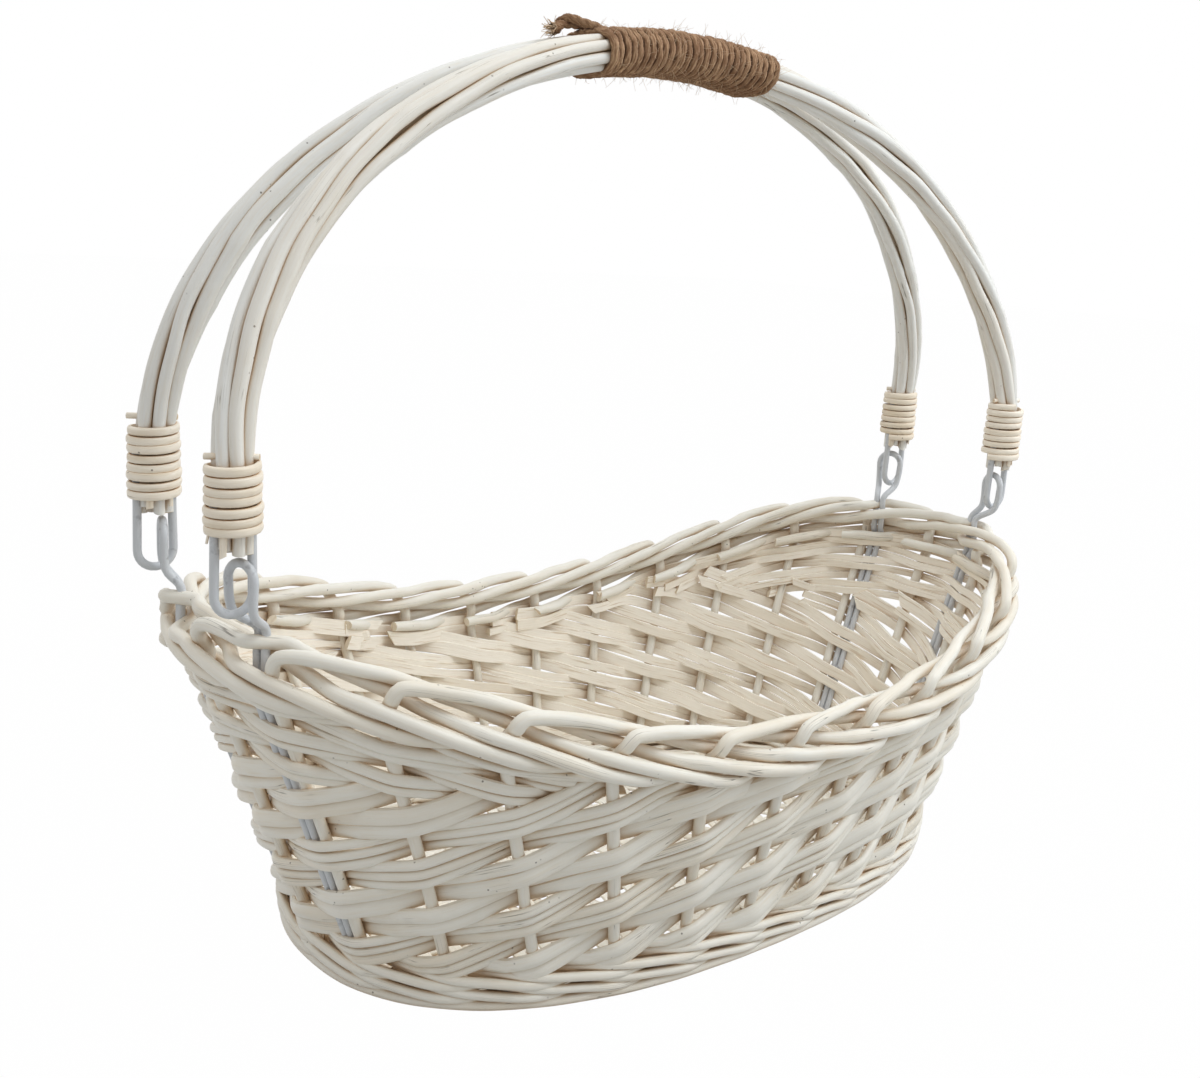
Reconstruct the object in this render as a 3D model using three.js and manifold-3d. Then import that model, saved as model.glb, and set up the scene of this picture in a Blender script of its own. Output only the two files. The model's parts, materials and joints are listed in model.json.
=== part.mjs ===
// Willow basket with an oval woven body and a linked carrying handle.
// Millimetres, +Z up, +X along the length, origin on the floor under the middle.
import * as THREE from 'three';
import Module from 'manifold-3d';
import { mergeVertices } from 'three/addons/utils/BufferGeometryUtils.js';

const wasm = await Module();
wasm.setup();

// Outline of the body
const rimLength = 389; // middle of the border, end to end
const rimWidth = 207;
const footLength = 307; // stakes at the wale
const footWidth = 175;
const outlinePower = 2.35; // 2 is an ellipse, more is squarer
const rimEndHeight = 143.7; // top of the border at the two ends
const rimMiddleHeight = 106; // top of the border at the two long sides
const rimShoulder = 6.8; // how much fuller than a plain wave the rim is
const clearance = 0.3; // between two touching pieces

// Stakes and border
const stakeCount = 26;
const stakeDiameter = 4.6;
const borderRodDiameter = 6.2;
const stakeSides = 5;
const borderRoute = [
  // stakes along, then distance out and height in rod diameters
  [0.25, -0.32, -0.65],
  [0.5, -0.56, 0.32],
  [0.8, -0.61, 0.78],
  [1.1, -0.5, 1.07],
  [1.4, -0.13, 1.32],
  [1.7, 0.31, 1.26],
  [2, 0.68, 0.97],
  [2.35, 0.96, 0.32],
  [2.8, 1.07, -0.61],
  [3.25, 0.99, -1.36],
];

// Base mat
const matThickness = 6.4;
const matInset = 5; // edge of the mat inside the stakes
const socketDepth = 18; // stake tails pushed into the mat
const matRidge = 0.8;
const matCourse = 16;
const matCorners = 26;
const matEdge = 1; // bevel of its rim

// Wale: three rods laid as one rod that goes three times round
const waleDiameter = 4.2;
const waleSides = 4;
const waleRoute = [
  // side of the stakes and height in rod diameters, at every half stake
  [1, 0.38],
  [1, -0.33],
  [1, -1.05],
  [0, -0.71],
  [-1, 0.07],
  [0, 0.67],
];

// Weave of the wall
const bandThickness = 3;
const bandGap = 0.8;
const lowerRows = 4;
const upperRows = 4;
const packingReach = [4, 3, 1]; // stakes each side of the end that a trip covers
const turnShares = [0.25, 0.5, 0.75]; // steps of a band round its turning stake

// Wire links
const wireDiameter = 3;
const half = stakeCount / 2;
const links = [
  // stake beside the wire, side of the wire round the stake, end and arch of the handle
  { name: 'front_left', stake: half + 1, side: -1, end: -1, arch: -1 },
  { name: 'rear_left', stake: half - 1, side: 1, end: -1, arch: 1 },
  { name: 'front_right', stake: stakeCount - 1, side: 1, end: 1, arch: -1 },
  { name: 'rear_right', stake: 1, side: -1, end: 1, arch: 1 },
];
const legLean = 4; // how far the legs on the bent side lean off their stake
const eyeRise = 22.4; // top of the basket eyes above the border beside them
const eyeShift = 2.5; // eye nearer the middle than the handle's foot
const eyeUpright = 0.9; // share of the eye's lean that lies below the loop
const wireSides = 5;

// Handle
const footOverhang = 5.5; // feet beyond the middle of the border at each end
const archRise = 146.8; // centreline, from the feet to the top
const footSpacing = 64;
const topSpacing = 12.2;
const archPower = 1.98;
const spacingPower = 0.8;
const rodDiameter = 5;
const rodGap = 0.5;
const rodSides = 5;
const archSteps = 16;
const rodEndSteps = [0, 1.8, 3.9, 0.8]; // cut ends of a foot, above the lowest
const twistTurns = 0.5; // twist of each bundle from foot to foot
const handleLift = 11.5; // slack of the linked wires
const loopSpare = 1.3; // slack left at the top of the lift

// Bindings
const caneWidth = 2.6;
const caneThickness = 1.1;
const canePitch = 3.1;
const caneTurns = 7;
const caneRise = 6.2; // binding above the lowest rod end
const caneSteps = 8;
const twineDiameter = 3.1;
const twinePitch = 3.75;
const twineTurns = 23;
const twineSides = 5;

// Sizes that follow
const stakeRadius = stakeDiameter / 2;
const borderRadius = borderRodDiameter / 2;
const waleRadius = waleDiameter / 2;
const wireRadius = wireDiameter / 2;
const rodRadius = rodDiameter / 2;
const quarter = Math.PI / 2;
const highestRod = Math.max(...borderRoute.map(([, , height]) => height));
const borderDepth = highestRod * borderRodDiameter + borderRadius;
const borderDrop = 1.95 * borderRodDiameter; // border's middle down to where stakes bend
const borderOpening = 0.77 * wireDiameter; // how far the border parts round a wire
const matMiddle = matThickness / 2;
const waleHeight = matThickness + waleRadius + 4 * clearance;
const waleTop = waleHeight + 0.67 * waleDiameter + waleRadius;
const waleOut = stakeRadius + waleRadius + 4 * clearance;
const weaveBottom = waleTop + clearance;
const bandOffset = stakeRadius + bandThickness / 2 + 1.5 * clearance;
const bandHold = 0.8 * stakeDiameter; // half length that a band lies along a stake
const legBeside = stakeRadius + wireRadius + 2.6 * clearance; // near leg to its stake
const legSpacing = wireDiameter + clearance;
const eyeHalfWidth = 1.53 * wireDiameter;
const handleSpan = rimLength + 2 * footOverhang;

// Materials
const materials = {
  willow: new THREE.MeshStandardMaterial({ color: 0xe4e2da, roughness: 0.62, metalness: 0 }),
  weave: new THREE.MeshStandardMaterial({ color: 0xe6dac0, roughness: 0.7, metalness: 0 }),
  cane: new THREE.MeshStandardMaterial({ color: 0xe1d4b9, roughness: 0.55, metalness: 0 }),
  wire: new THREE.MeshStandardMaterial({ color: 0xbec4ca, roughness: 0.4, metalness: 0.2 }),
  jute: new THREE.MeshStandardMaterial({ color: 0xa07d5a, roughness: 0.95, metalness: 0 }),
};

const basket = new THREE.Group();

function add(name, geometry, material) {
  const mesh = new THREE.Mesh(geometry, material);
  mesh.name = name;
  basket.add(mesh);
}

// A closed skin through rings of points, each ring with as many points
function loft(rings, closed = false) {
  const sides = rings[0].length;
  const positions = rings.flat().flatMap((point) => [point.x, point.y, point.z]);
  const faces = [];
  const last = closed ? rings.length : rings.length - 1;
  for (let ring = 0; ring < last; ring += 1) {
    const next = (ring + 1) % rings.length;
    for (let side = 0; side < sides; side += 1) {
      const turn = (side + 1) % sides;
      const a = ring * sides + side;
      const b = ring * sides + turn;
      const c = next * sides + side;
      const d = next * sides + turn;
      faces.push(a, b, d, a, d, c);
    }
  }
  if (!closed) {
    const end = (rings.length - 1) * sides;
    for (let side = 1; side < sides - 1; side += 1) {
      faces.push(0, side + 1, side);
      faces.push(end, end + side, end + side + 1);
    }
  }
  const geometry = new THREE.BufferGeometry();
  geometry.setAttribute('position', new THREE.Float32BufferAttribute(positions, 3));
  geometry.setIndex(faces);
  return geometry;
}

// Directions along a row of points, with a side direction that never spins
function carriedFrames(points, closed) {
  const count = points.length;
  const frames = [];
  let side = null;
  for (let i = 0; i < count; i += 1) {
    const before = closed ? points[(i + count - 1) % count] : points[Math.max(i - 1, 0)];
    const after = closed ? points[(i + 1) % count] : points[Math.min(i + 1, count - 1)];
    const along = after.clone().sub(before).normalize();
    if (side === null) {
      const axis = Math.abs(along.z) > 0.8 ? new THREE.Vector3(1, 0, 0) : new THREE.Vector3(0, 0, 1);
      side = axis.sub(along.clone().multiplyScalar(axis.dot(along))).normalize();
    } else {
      side = side.clone().sub(along.clone().multiplyScalar(side.dot(along))).normalize();
    }
    frames.push({ along, side, across: along.clone().cross(side) });
  }
  return frames;
}

// A round rod along points, whose radius can change from point to point
function rod(points, radiusAt, sides, closed = false) {
  const frames = carriedFrames(points, closed);
  const rings = points.map((point, i) => {
    const ring = [];
    for (let corner = 0; corner < sides; corner += 1) {
      const angle = (corner / sides) * 2 * Math.PI;
      const radius = radiusAt(i);
      ring.push(
        point
          .clone()
          .addScaledVector(frames[i].side, radius * Math.cos(angle))
          .addScaledVector(frames[i].across, radius * Math.sin(angle)),
      );
    }
    return ring;
  });
  return loft(rings, closed);
}

function ovalPoint(angle, halfLength, halfWidth, power = outlinePower) {
  const c = Math.cos(angle);
  const s = Math.sin(angle);
  const x = halfLength * Math.sign(c) * Math.abs(c) ** (2 / power);
  const y = halfWidth * Math.sign(s) * Math.abs(s) ** (2 / power);
  return new THREE.Vector2(x, y);
}

// Angles at equal distances round the outline halfway up the wall
const outlineSamples = 1440;
const outlineDistance = [0];
for (let i = 1; i <= outlineSamples; i += 1) {
  const halfLength = (rimLength + footLength) / 4;
  const halfWidth = (rimWidth + footWidth) / 4;
  const here = ovalPoint((i / outlineSamples) * 2 * Math.PI, halfLength, halfWidth);
  const before = ovalPoint(((i - 1) / outlineSamples) * 2 * Math.PI, halfLength, halfWidth);
  outlineDistance.push(outlineDistance[i - 1] + here.distanceTo(before));
}
const stakeSpacing = outlineDistance[outlineSamples] / stakeCount;

// Angle of a place given in stakes round from the right-hand end
function placeAngle(place) {
  const turns = Math.floor(place / stakeCount);
  const target = (place - turns * stakeCount) * stakeSpacing;
  let low = 0;
  let high = outlineSamples;
  while (high - low > 1) {
    const middle = Math.floor((low + high) / 2);
    if (outlineDistance[middle] <= target) low = middle;
    else high = middle;
  }
  const step = outlineDistance[high] - outlineDistance[low];
  const sample = low + (target - outlineDistance[low]) / step;
  return (sample / outlineSamples) * 2 * Math.PI;
}

function rimHeight(angle) {
  const mean = (rimEndHeight + rimMiddleHeight) / 2;
  const wave = ((rimEndHeight - rimMiddleHeight) / 2) * Math.cos(2 * angle);
  return mean + wave + rimShoulder * Math.sin(2 * angle) ** 2;
}

// A point of the wall: place in stakes, height, and distance out from the stakes
function wallPoint(place, z, out = 0) {
  const angle = placeAngle(place);
  const top = rimHeight(angle) - borderDepth - borderDrop;
  const share = Math.min(Math.max((z - waleHeight) / (top - waleHeight), 0), 1);
  const halfLength = (footLength + (rimLength - footLength) * share) / 2;
  const halfWidth = (footWidth + (rimWidth - footWidth) * share) / 2;
  const nudge = 0.01;
  const here = ovalPoint(angle, halfLength, halfWidth);
  const ahead = ovalPoint(angle + nudge, halfLength, halfWidth);
  const behind = ovalPoint(angle - nudge, halfLength, halfWidth);
  const along = ahead.sub(behind).normalize();
  return new THREE.Vector3(here.x + along.y * out, here.y - along.x * out, z);
}

// A point of the border: height is counted from its middle
function borderPoint(place, out, height) {
  const z = rimHeight(placeAngle(place)) - borderDepth + height;
  const seat = wallPoint(place, rimEndHeight, out);
  return new THREE.Vector3(seat.x, seat.y, z);
}

// How far the legs of a wire lean off their stake, and where they pass the border
function leanOf(link) {
  return link.side > 0 ? legLean : 0;
}
function linkPlace(link) {
  return link.stake + (link.side * (legBeside + legSpacing / 2 + leanOf(link))) / stakeSpacing;
}

function borderSpread(place) {
  const distances = links.map((link) => {
    const apart = Math.abs(place - linkPlace(link)) % stakeCount;
    return Math.min(apart, stakeCount - apart);
  });
  const fade = THREE.MathUtils.smoothstep(Math.min(...distances), 0.2, 0.75);
  return borderOpening * (1 - fade);
}

// Stakes: pushed into the mat, up the wall, then down into the rod border
function stakePoints(stake) {
  const top = rimHeight(placeAngle(stake)) - borderDepth - borderDrop;
  const foot = waleHeight + waleRadius;
  const points = [
    wallPoint(stake, matMiddle, -matInset - socketDepth),
    wallPoint(stake, matMiddle, -matInset),
    wallPoint(stake, matMiddle + 0.2 * stakeDiameter, -matInset * 0.45),
    wallPoint(stake, matMiddle + 0.7 * stakeDiameter, -matInset * 0.08),
    wallPoint(stake, foot),
    wallPoint(stake, (foot + top) / 2),
    wallPoint(stake, top),
  ];
  for (const [along, outShare, heightShare] of borderRoute) {
    const place = stake + along;
    const out = outShare * borderRodDiameter;
    const shift = borderSpread(place) * Math.tanh(3.1 * outShare);
    points.push(borderPoint(place, out + shift, heightShare * borderRodDiameter));
  }
  return points;
}

const wallStations = 7; // stake points before the border
function stakeRadiusAt(station) {
  const share = Math.min(Math.max((station - wallStations + 2) / 3, 0), 1);
  return stakeRadius + (borderRadius - stakeRadius) * share;
}

for (let stake = 0; stake < stakeCount; stake += 1) {
  add(`stake_${stake + 1}`, rod(stakePoints(stake), stakeRadiusAt, stakeSides), materials.willow);
}

// Base mat with a socket for each stake tail
function asSolid(geometry) {
  const plain = geometry.clone();
  plain.deleteAttribute('normal');
  plain.deleteAttribute('uv');
  const merged = mergeVertices(plain, 1e-4);
  const vertProperties = Float32Array.from(merged.attributes.position.array);
  const triVerts = Uint32Array.from(merged.index.array);
  return new wasm.Manifold(new wasm.Mesh({ numProp: 3, vertProperties, triVerts }));
}

function asGeometry(solid) {
  const mesh = solid.getMesh();
  const geometry = new THREE.BufferGeometry();
  geometry.setAttribute('position', new THREE.BufferAttribute(mesh.vertProperties, 3));
  geometry.setIndex(new THREE.BufferAttribute(mesh.triVerts, 1));
  return geometry;
}

function baseMat() {
  const halfLength = footLength / 2 - 1.1 * matInset;
  const halfWidth = footWidth / 2 - 1.1 * matInset;
  const flatRim = socketDepth + matThickness;
  const stations = [
    [halfWidth - matCourse / 4, 0],
    [matEdge, 0],
    [0, matEdge],
    [0, matThickness - matEdge],
    [matEdge, matThickness],
  ];
  let ridge = 0;
  for (let inset = flatRim; inset < halfWidth - matCourse / 2; inset += matCourse / 2) {
    stations.push([inset, matThickness - matRidge * ridge]);
    ridge = 1 - ridge;
  }
  stations.push([halfWidth - matCourse / 4, matThickness]);
  const rings = stations.map(([inset, z]) => {
    const ring = [];
    for (let corner = 0; corner < matCorners; corner += 1) {
      const angle = (corner / matCorners) * 2 * Math.PI;
      const point = ovalPoint(angle, halfLength - inset, halfWidth - inset);
      ring.push(new THREE.Vector3(point.x, point.y, z));
    }
    return ring;
  });
  let mat = asSolid(loft(rings));
  for (let stake = 0; stake < stakeCount; stake += 1) {
    const socket = [
      wallPoint(stake, matMiddle, -matInset - 1.05 * socketDepth),
      wallPoint(stake, matMiddle, -0.4 * matInset),
    ];
    mat = mat.subtract(asSolid(rod(socket, () => stakeRadius + clearance, stakeSides)));
  }
  return asGeometry(mat);
}
add('base_mat', baseMat(), materials.weave);

// Wale at the foot of the wall
const walePoints = [];
for (let step = 0; step < stakeCount * waleRoute.length; step += 1) {
  const [side, height] = waleRoute[step % waleRoute.length];
  const point = wallPoint(step / 2, waleHeight, side * waleOut);
  walePoints.push(point.setZ(waleHeight + height * waleDiameter));
}
add('wale', rod(walePoints, () => waleRadius, waleSides, true), materials.weave);

// Rows of the weave, counted up from the wale at each stake
function endDistance(stake) {
  const place = ((stake % half) + half) % half;
  return Math.min(place, half - place);
}

function packedRows(stake) {
  return 2 * packingReach.filter((reach) => endDistance(stake) <= reach).length;
}

function rowPitch(stake) {
  const top = rimHeight(placeAngle(stake)) - borderDepth - borderDrop - clearance;
  return (top - weaveBottom) / (lowerRows + upperRows + packedRows(stake));
}

// Heights of the two edges of a band beside a stake
function bandEdges(stake, row) {
  const pitch = rowPitch(stake);
  const low = weaveBottom + pitch * row + bandGap / 2;
  return { low, high: low + pitch - bandGap };
}

// The four corners of a band; a band that has turned back shows its other face
function bandRing(place, stake, row, out, face = 1) {
  const { low, high } = bandEdges(stake, row);
  const first = out - (face * bandThickness) / 2;
  const second = out + (face * bandThickness) / 2;
  return [
    wallPoint(place, low, first),
    wallPoint(place, high, first),
    wallPoint(place, high, second),
    wallPoint(place, low, second),
  ];
}

// The same corners where the band turns back round a stake
function turnRing(place, stake, row, out, face, step, angle) {
  const { low, high } = bandEdges(stake, row);
  const side = Math.sign(out);
  const corner = (radius, z) => {
    const along = (step * radius * Math.sin(angle)) / stakeSpacing;
    return wallPoint(place + along, z, side * radius * Math.cos(angle));
  };
  const first = bandOffset - (side * face * bandThickness) / 2;
  const second = bandOffset + (side * face * bandThickness) / 2;
  return [
    corner(first, low),
    corner(first, high),
    corner(second, high),
    corner(second, low),
  ];
}

// Where a band lies along a stake, and along the wire beside it, in stakes
function holdPlaces(stake) {
  const index = ((stake % stakeCount) + stakeCount) % stakeCount;
  const link = links.find((entry) => entry.stake === index);
  let holds = [-bandHold, bandHold];
  if (link) {
    const reach = legBeside + legSpacing + wireRadius + clearance + leanOf(link);
    const outer = link.side > 0 ? [bandHold, reach / 2, reach] : [-bandHold / 2, bandHold];
    holds = link.side > 0 ? [-bandHold, ...outer] : [-reach, ...outer];
  }
  return holds.map((hold) => stake + hold / stakeSpacing);
}

function outAt(stake, row) {
  return (stake + row) % 2 === 0 ? bandOffset : -bandOffset;
}

for (let row = 0; row < lowerRows + upperRows; row += 1) {
  const rings = [];
  for (let stake = 0; stake < stakeCount; stake += 1) {
    const level = row < lowerRows ? row : row + packedRows(stake);
    const out = outAt(stake, row);
    for (const place of holdPlaces(stake)) {
      rings.push(bandRing(place, stake, level, out));
    }
  }
  add(`weaver_${row + 1}`, loft(rings, true), materials.weave);
}

// Short rows at one end: one weaver that turns back round a stake after each trip
function packingWeaver(end) {
  const laid = new Map();
  const rings = [];
  const [wide, middle, narrow] = packingReach;
  const turns = [-wide, narrow, -narrow, middle, -middle, wide, -wide];
  let face = 1;
  for (let trip = 0; trip < turns.length - 1; trip += 1) {
    const from = turns[trip];
    const to = turns[trip + 1];
    const step = Math.sign(to - from);
    for (let stake = from; stake !== to + step; stake += step) {
      const place = end + stake;
      const below = laid.get(stake) ?? 0;
      const level = lowerRows + below;
      const out = outAt(place, level);
      const holds = step > 0 ? holdPlaces(place) : holdPlaces(place).reverse();
      for (const hold of holds) {
        rings.push(bandRing(hold, place, level, out, face));
      }
      laid.set(stake, below + 1);
      if (stake === to && trip < turns.length - 2) {
        for (const share of turnShares) {
          const angle = share * Math.PI;
          rings.push(turnRing(holds.at(-1), place, level + share, out, face, step, angle));
        }
        face = -face;
      }
    }
  }
  return loft(rings);
}
add('packing_right', packingWeaver(0), materials.weave);
add('packing_left', packingWeaver(stakeCount / 2), materials.weave);

// Heights of the linked pieces, all counted from the border beside the links
const eyeTop = rimHeight(placeAngle(links[0].stake)) + eyeRise; // centreline
const lowestRodEnd = eyeTop + wireRadius + clearance;
const loopBottom = eyeTop - wireDiameter - handleLift - loopSpare; // centreline
const caneBottom = lowestRodEnd + caneRise;
const handleFootHeight = caneBottom + (caneTurns - 1) * canePitch;
const handleTopHeight = handleFootHeight + archRise;

// Handle: two arches of four rods, side by side at the top
const halfPitch = (rodDiameter + rodGap) / 2;
const rodOffset = halfPitch * Math.SQRT2;

function archHeight(x) {
  const share = Math.min(Math.abs((2 * x) / handleSpan), 1);
  return handleFootHeight + archRise * (1 - share ** archPower) ** (1 / archPower);
}

function archSide(z) {
  const share = Math.min(Math.max((z - handleFootHeight) / archRise, 0), 1);
  return (topSpacing + (footSpacing - topSpacing) * (1 - share) ** spacingPower) / 2;
}

function archFrame(turn) {
  // turn runs from 0 at the left foot to 1 at the right one
  const x = (-handleSpan / 2) * Math.cos(turn * Math.PI);
  const z = archHeight(x);
  const halfSpan = handleSpan / 2;
  const away = new THREE.Vector3(x / halfSpan ** 2, 0, (z - handleFootHeight) / archRise ** 2);
  return { centre: new THREE.Vector3(x, archSide(z), z), away: away.normalize() };
}

function handleRodPoints(side, index) {
  const points = [];
  for (let step = 0; step <= archSteps; step += 1) {
    const turn = step / archSteps;
    const { centre, away } = archFrame(turn);
    const angle = quarter / 2 + index * quarter + (turn - 0.5) * twistTurns * 2 * Math.PI;
    const point = centre.clone().addScaledVector(away, rodOffset * Math.cos(angle));
    point.y = side * (centre.y + rodOffset * Math.sin(angle));
    points.push(point);
  }
  const first = points[0];
  const last = points[archSteps];
  const leftEnd = lowestRodEnd + rodEndSteps[index];
  const rightEnd = lowestRodEnd + rodEndSteps[(index + 2) % rodEndSteps.length];
  return [first.clone().setZ(leftEnd), ...points, last.clone().setZ(rightEnd)];
}

for (const [side, arch] of [[-1, 'front'], [1, 'rear']]) {
  for (let index = 0; index < 4; index += 1) {
    const points = handleRodPoints(side, index);
    add(`handle_rod_${arch}_${index + 1}`, rod(points, () => rodRadius, rodSides), materials.willow);
  }
}

// Wire loops in the handle's feet, legs in the grooves between the rods
const grooveReach = rodRadius + wireRadius + clearance;
const grooveOffset = halfPitch + Math.sqrt(grooveReach ** 2 - halfPitch ** 2);
const loopHalfWidth = grooveOffset + 0.37 * wireDiameter;

function footLoopPoints(x, y) {
  const bend = loopBottom + loopHalfWidth;
  const points = [new THREE.Vector3(x - grooveOffset, y, handleFootHeight)];
  points.push(new THREE.Vector3(x - grooveOffset, y, caneBottom - wireRadius));
  const steps = 10;
  for (let step = 0; step <= steps; step += 1) {
    const angle = Math.PI + (step / steps) * Math.PI;
    const z = bend + loopHalfWidth * Math.sin(angle);
    points.push(new THREE.Vector3(x + loopHalfWidth * Math.cos(angle), y, z));
  }
  points.push(new THREE.Vector3(x + grooveOffset, y, caneBottom - wireRadius));
  points.push(new THREE.Vector3(x + grooveOffset, y, handleFootHeight));
  return points;
}

// Basket eyes: one wire bent double, its legs beside a stake in the weave
function eyePoints(link, x, y) {
  const wallTop = rimHeight(placeAngle(link.stake)) - borderDepth - borderDrop;
  const lean = leanOf(link);
  const seatOut = (link.side > 0 ? 0.39 : -0.06) * borderRodDiameter;
  const legLine = (beside) => {
    const low = link.stake + (link.side * beside) / stakeSpacing;
    const high = link.stake + (link.side * (beside + lean)) / stakeSpacing;
    return [
      wallPoint(low, weaveBottom + clearance),
      wallPoint(high, wallTop),
      borderPoint(high, seatOut, -borderDrop / 2),
      borderPoint(high, seatOut, borderRadius),
      borderPoint(high, seatOut, borderDepth + wireRadius),
    ];
  };
  const first = legLine(link.side > 0 ? legBeside : legBeside + legSpacing);
  const second = legLine(link.side > 0 ? legBeside + legSpacing : legBeside);
  const seatA = first.at(-1);
  const seatB = second.at(-1);
  const along = seatB.clone().sub(seatA).setZ(0).normalize();
  const centre = new THREE.Vector3(x, y, eyeTop - eyeHalfWidth);
  const seat = seatA.clone().add(seatB).multiplyScalar(0.5);
  const waist = seat.clone().lerp(centre, eyeUpright).setZ(loopBottom);
  const steps = 8;
  const arch = [waist.clone().addScaledVector(along, -eyeHalfWidth)];
  for (let step = 0; step <= steps; step += 1) {
    const angle = (step / steps) * Math.PI;
    const point = centre.clone().addScaledVector(along, -eyeHalfWidth * Math.cos(angle));
    point.z += eyeHalfWidth * Math.sin(angle);
    arch.push(point);
  }
  arch.push(waist.clone().addScaledVector(along, eyeHalfWidth));
  return [...first, ...arch, ...second.reverse()];
}

// Cane binding: a flat strip wound round a foot of the handle
function canePoints(x, y) {
  const rings = [];
  const inner = grooveOffset + wireRadius + clearance;
  const outer = inner + caneThickness;
  const steps = caneTurns * caneSteps;
  for (let step = 0; step <= steps; step += 1) {
    const angle = (step / caneSteps) * 2 * Math.PI;
    const z = caneBottom + caneWidth / 2 + (step / caneSteps) * canePitch;
    const corner = (radius, lift) =>
      new THREE.Vector3(x + radius * Math.cos(angle), y + radius * Math.sin(angle), z + lift);
    const edge = caneWidth / 2;
    rings.push([
      corner(inner, edge),
      corner(outer, edge),
      corner(outer, -edge),
      corner(inner, -edge),
    ]);
  }
  return rings;
}

for (const link of links) {
  const x = (link.end * handleSpan) / 2;
  const y = (link.arch * footSpacing) / 2;
  const loop = rod(footLoopPoints(x, y), () => wireRadius, wireSides);
  add(`handle_loop_${link.name}`, loop, materials.wire);
  const eye = rod(eyePoints(link, x - link.end * eyeShift, y), () => wireRadius, wireSides);
  add(`basket_eye_${link.name}`, eye, materials.wire);
  add(`cane_binding_${link.name}`, loft(canePoints(x, y)), materials.cane);
}

// Jute binding: twine wound round both arches at the top, over their outer rods
const twineCorner = rodRadius + twineDiameter / 2 + 2.3 * clearance;
const cornerTurns = [0, 0.5, 1];
const twineSteps = 4 * cornerTurns.length;

function twinePoints() {
  const points = [];
  const steps = twineTurns * twineSteps;
  const start = (-twineTurns * twinePitch) / 2;
  for (let step = 0; step <= steps; step += 1) {
    const x = start + (step / twineSteps) * twinePitch;
    const z = archHeight(x);
    const turn = Math.acos((-2 * x) / handleSpan) / Math.PI;
    const { away } = archFrame(turn);
    const corner = Math.floor(step / cornerTurns.length) % 4;
    const angle = (corner + cornerTurns[step % cornerTurns.length]) * quarter;
    const twist = Math.abs(turn - 0.5) * twistTurns * 2 * Math.PI;
    const spread = rodOffset * Math.cos(quarter / 2 - twist);
    const ySign = corner === 0 || corner === 3 ? 1 : -1;
    const upSign = corner < 2 ? 1 : -1;
    const up = upSign * spread + twineCorner * Math.sin(angle);
    const point = new THREE.Vector3(x, 0, z).addScaledVector(away, up);
    point.y = ySign * (archSide(z) + spread) + twineCorner * Math.cos(angle);
    points.push(point);
  }
  const tail = (end, next) => {
    const away = end.clone().sub(next).normalize();
    return end.clone().addScaledVector(away, twineDiameter);
  };
  points.unshift(tail(points[0], points[1]));
  points.push(tail(points.at(-1), points.at(-2)));
  return points;
}

function leastGap(points, perTurn, thickness) {
  let least = Infinity;
  for (let i = 0; i < points.length; i += 1) {
    for (let j = i + Math.floor(perTurn / 2); j < points.length; j += 1) {
      least = Math.min(least, points[i].distanceTo(points[j]));
    }
  }
  return least - thickness;
}

const twine = twinePoints();
add('jute_binding', rod(twine, () => twineDiameter / 2, twineSides), materials.jute);
console.log(`least gap of the twine to itself: ${leastGap(twine, twineSteps, twineDiameter).toFixed(2)} mm`);
console.log(`least gap of the cane to itself: ${(canePitch - caneWidth).toFixed(2)} mm`);
console.log(`top of the handle's centreline: ${handleTopHeight.toFixed(1)} mm`);

export default basket;
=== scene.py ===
"""Willow basket: an oval woven body with a carrying handle linked to it by wire.

Lengths inside the classes are millimetres, in the frame of the solids. A mesh is scaled to
metres when it is made. Rods, splits, straps and twine follow lines that no primitive or
extrusion gives, so one class lofts them from their lines; the rest is made with operators.
"""

import json
import logging
import math
from dataclasses import dataclass, field
from enum import Enum
from functools import cached_property
from typing import Any, Iterable, Sequence

import bpy
import numpy as np
from mathutils import Matrix, Vector

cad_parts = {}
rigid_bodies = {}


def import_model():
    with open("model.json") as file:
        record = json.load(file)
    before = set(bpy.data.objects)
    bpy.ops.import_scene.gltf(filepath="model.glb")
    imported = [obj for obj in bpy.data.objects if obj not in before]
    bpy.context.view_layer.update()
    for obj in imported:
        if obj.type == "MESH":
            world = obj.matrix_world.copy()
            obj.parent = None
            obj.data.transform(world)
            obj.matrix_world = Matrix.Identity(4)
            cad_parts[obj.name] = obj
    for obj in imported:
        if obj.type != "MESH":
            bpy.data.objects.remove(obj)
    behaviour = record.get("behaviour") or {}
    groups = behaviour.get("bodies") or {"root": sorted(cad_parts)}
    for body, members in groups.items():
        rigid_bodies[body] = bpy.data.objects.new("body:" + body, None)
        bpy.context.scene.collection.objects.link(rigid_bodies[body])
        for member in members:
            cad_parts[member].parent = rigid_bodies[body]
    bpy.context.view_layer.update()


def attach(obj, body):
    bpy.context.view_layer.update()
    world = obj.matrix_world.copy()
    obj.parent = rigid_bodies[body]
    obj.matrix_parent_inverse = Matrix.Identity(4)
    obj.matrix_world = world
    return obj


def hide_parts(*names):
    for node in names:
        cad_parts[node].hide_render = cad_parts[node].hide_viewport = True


LOG = logging.getLogger("basket")
MM = 0.001
TURN = 2 * math.pi
Array = np.ndarray
Rng = np.random.Generator
Material = bpy.types.Material
Socket = bpy.types.NodeSocket
Color = tuple[float, float, float, float]
Point = tuple[float, float, float]
WHITE: Color = (1.0, 1.0, 1.0, 1.0)
# Wave lengths of a rod's slow drift, with their shares
WAVES = ((131.0, 0.5), (67.0, 0.33), (29.0, 0.17))


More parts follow.
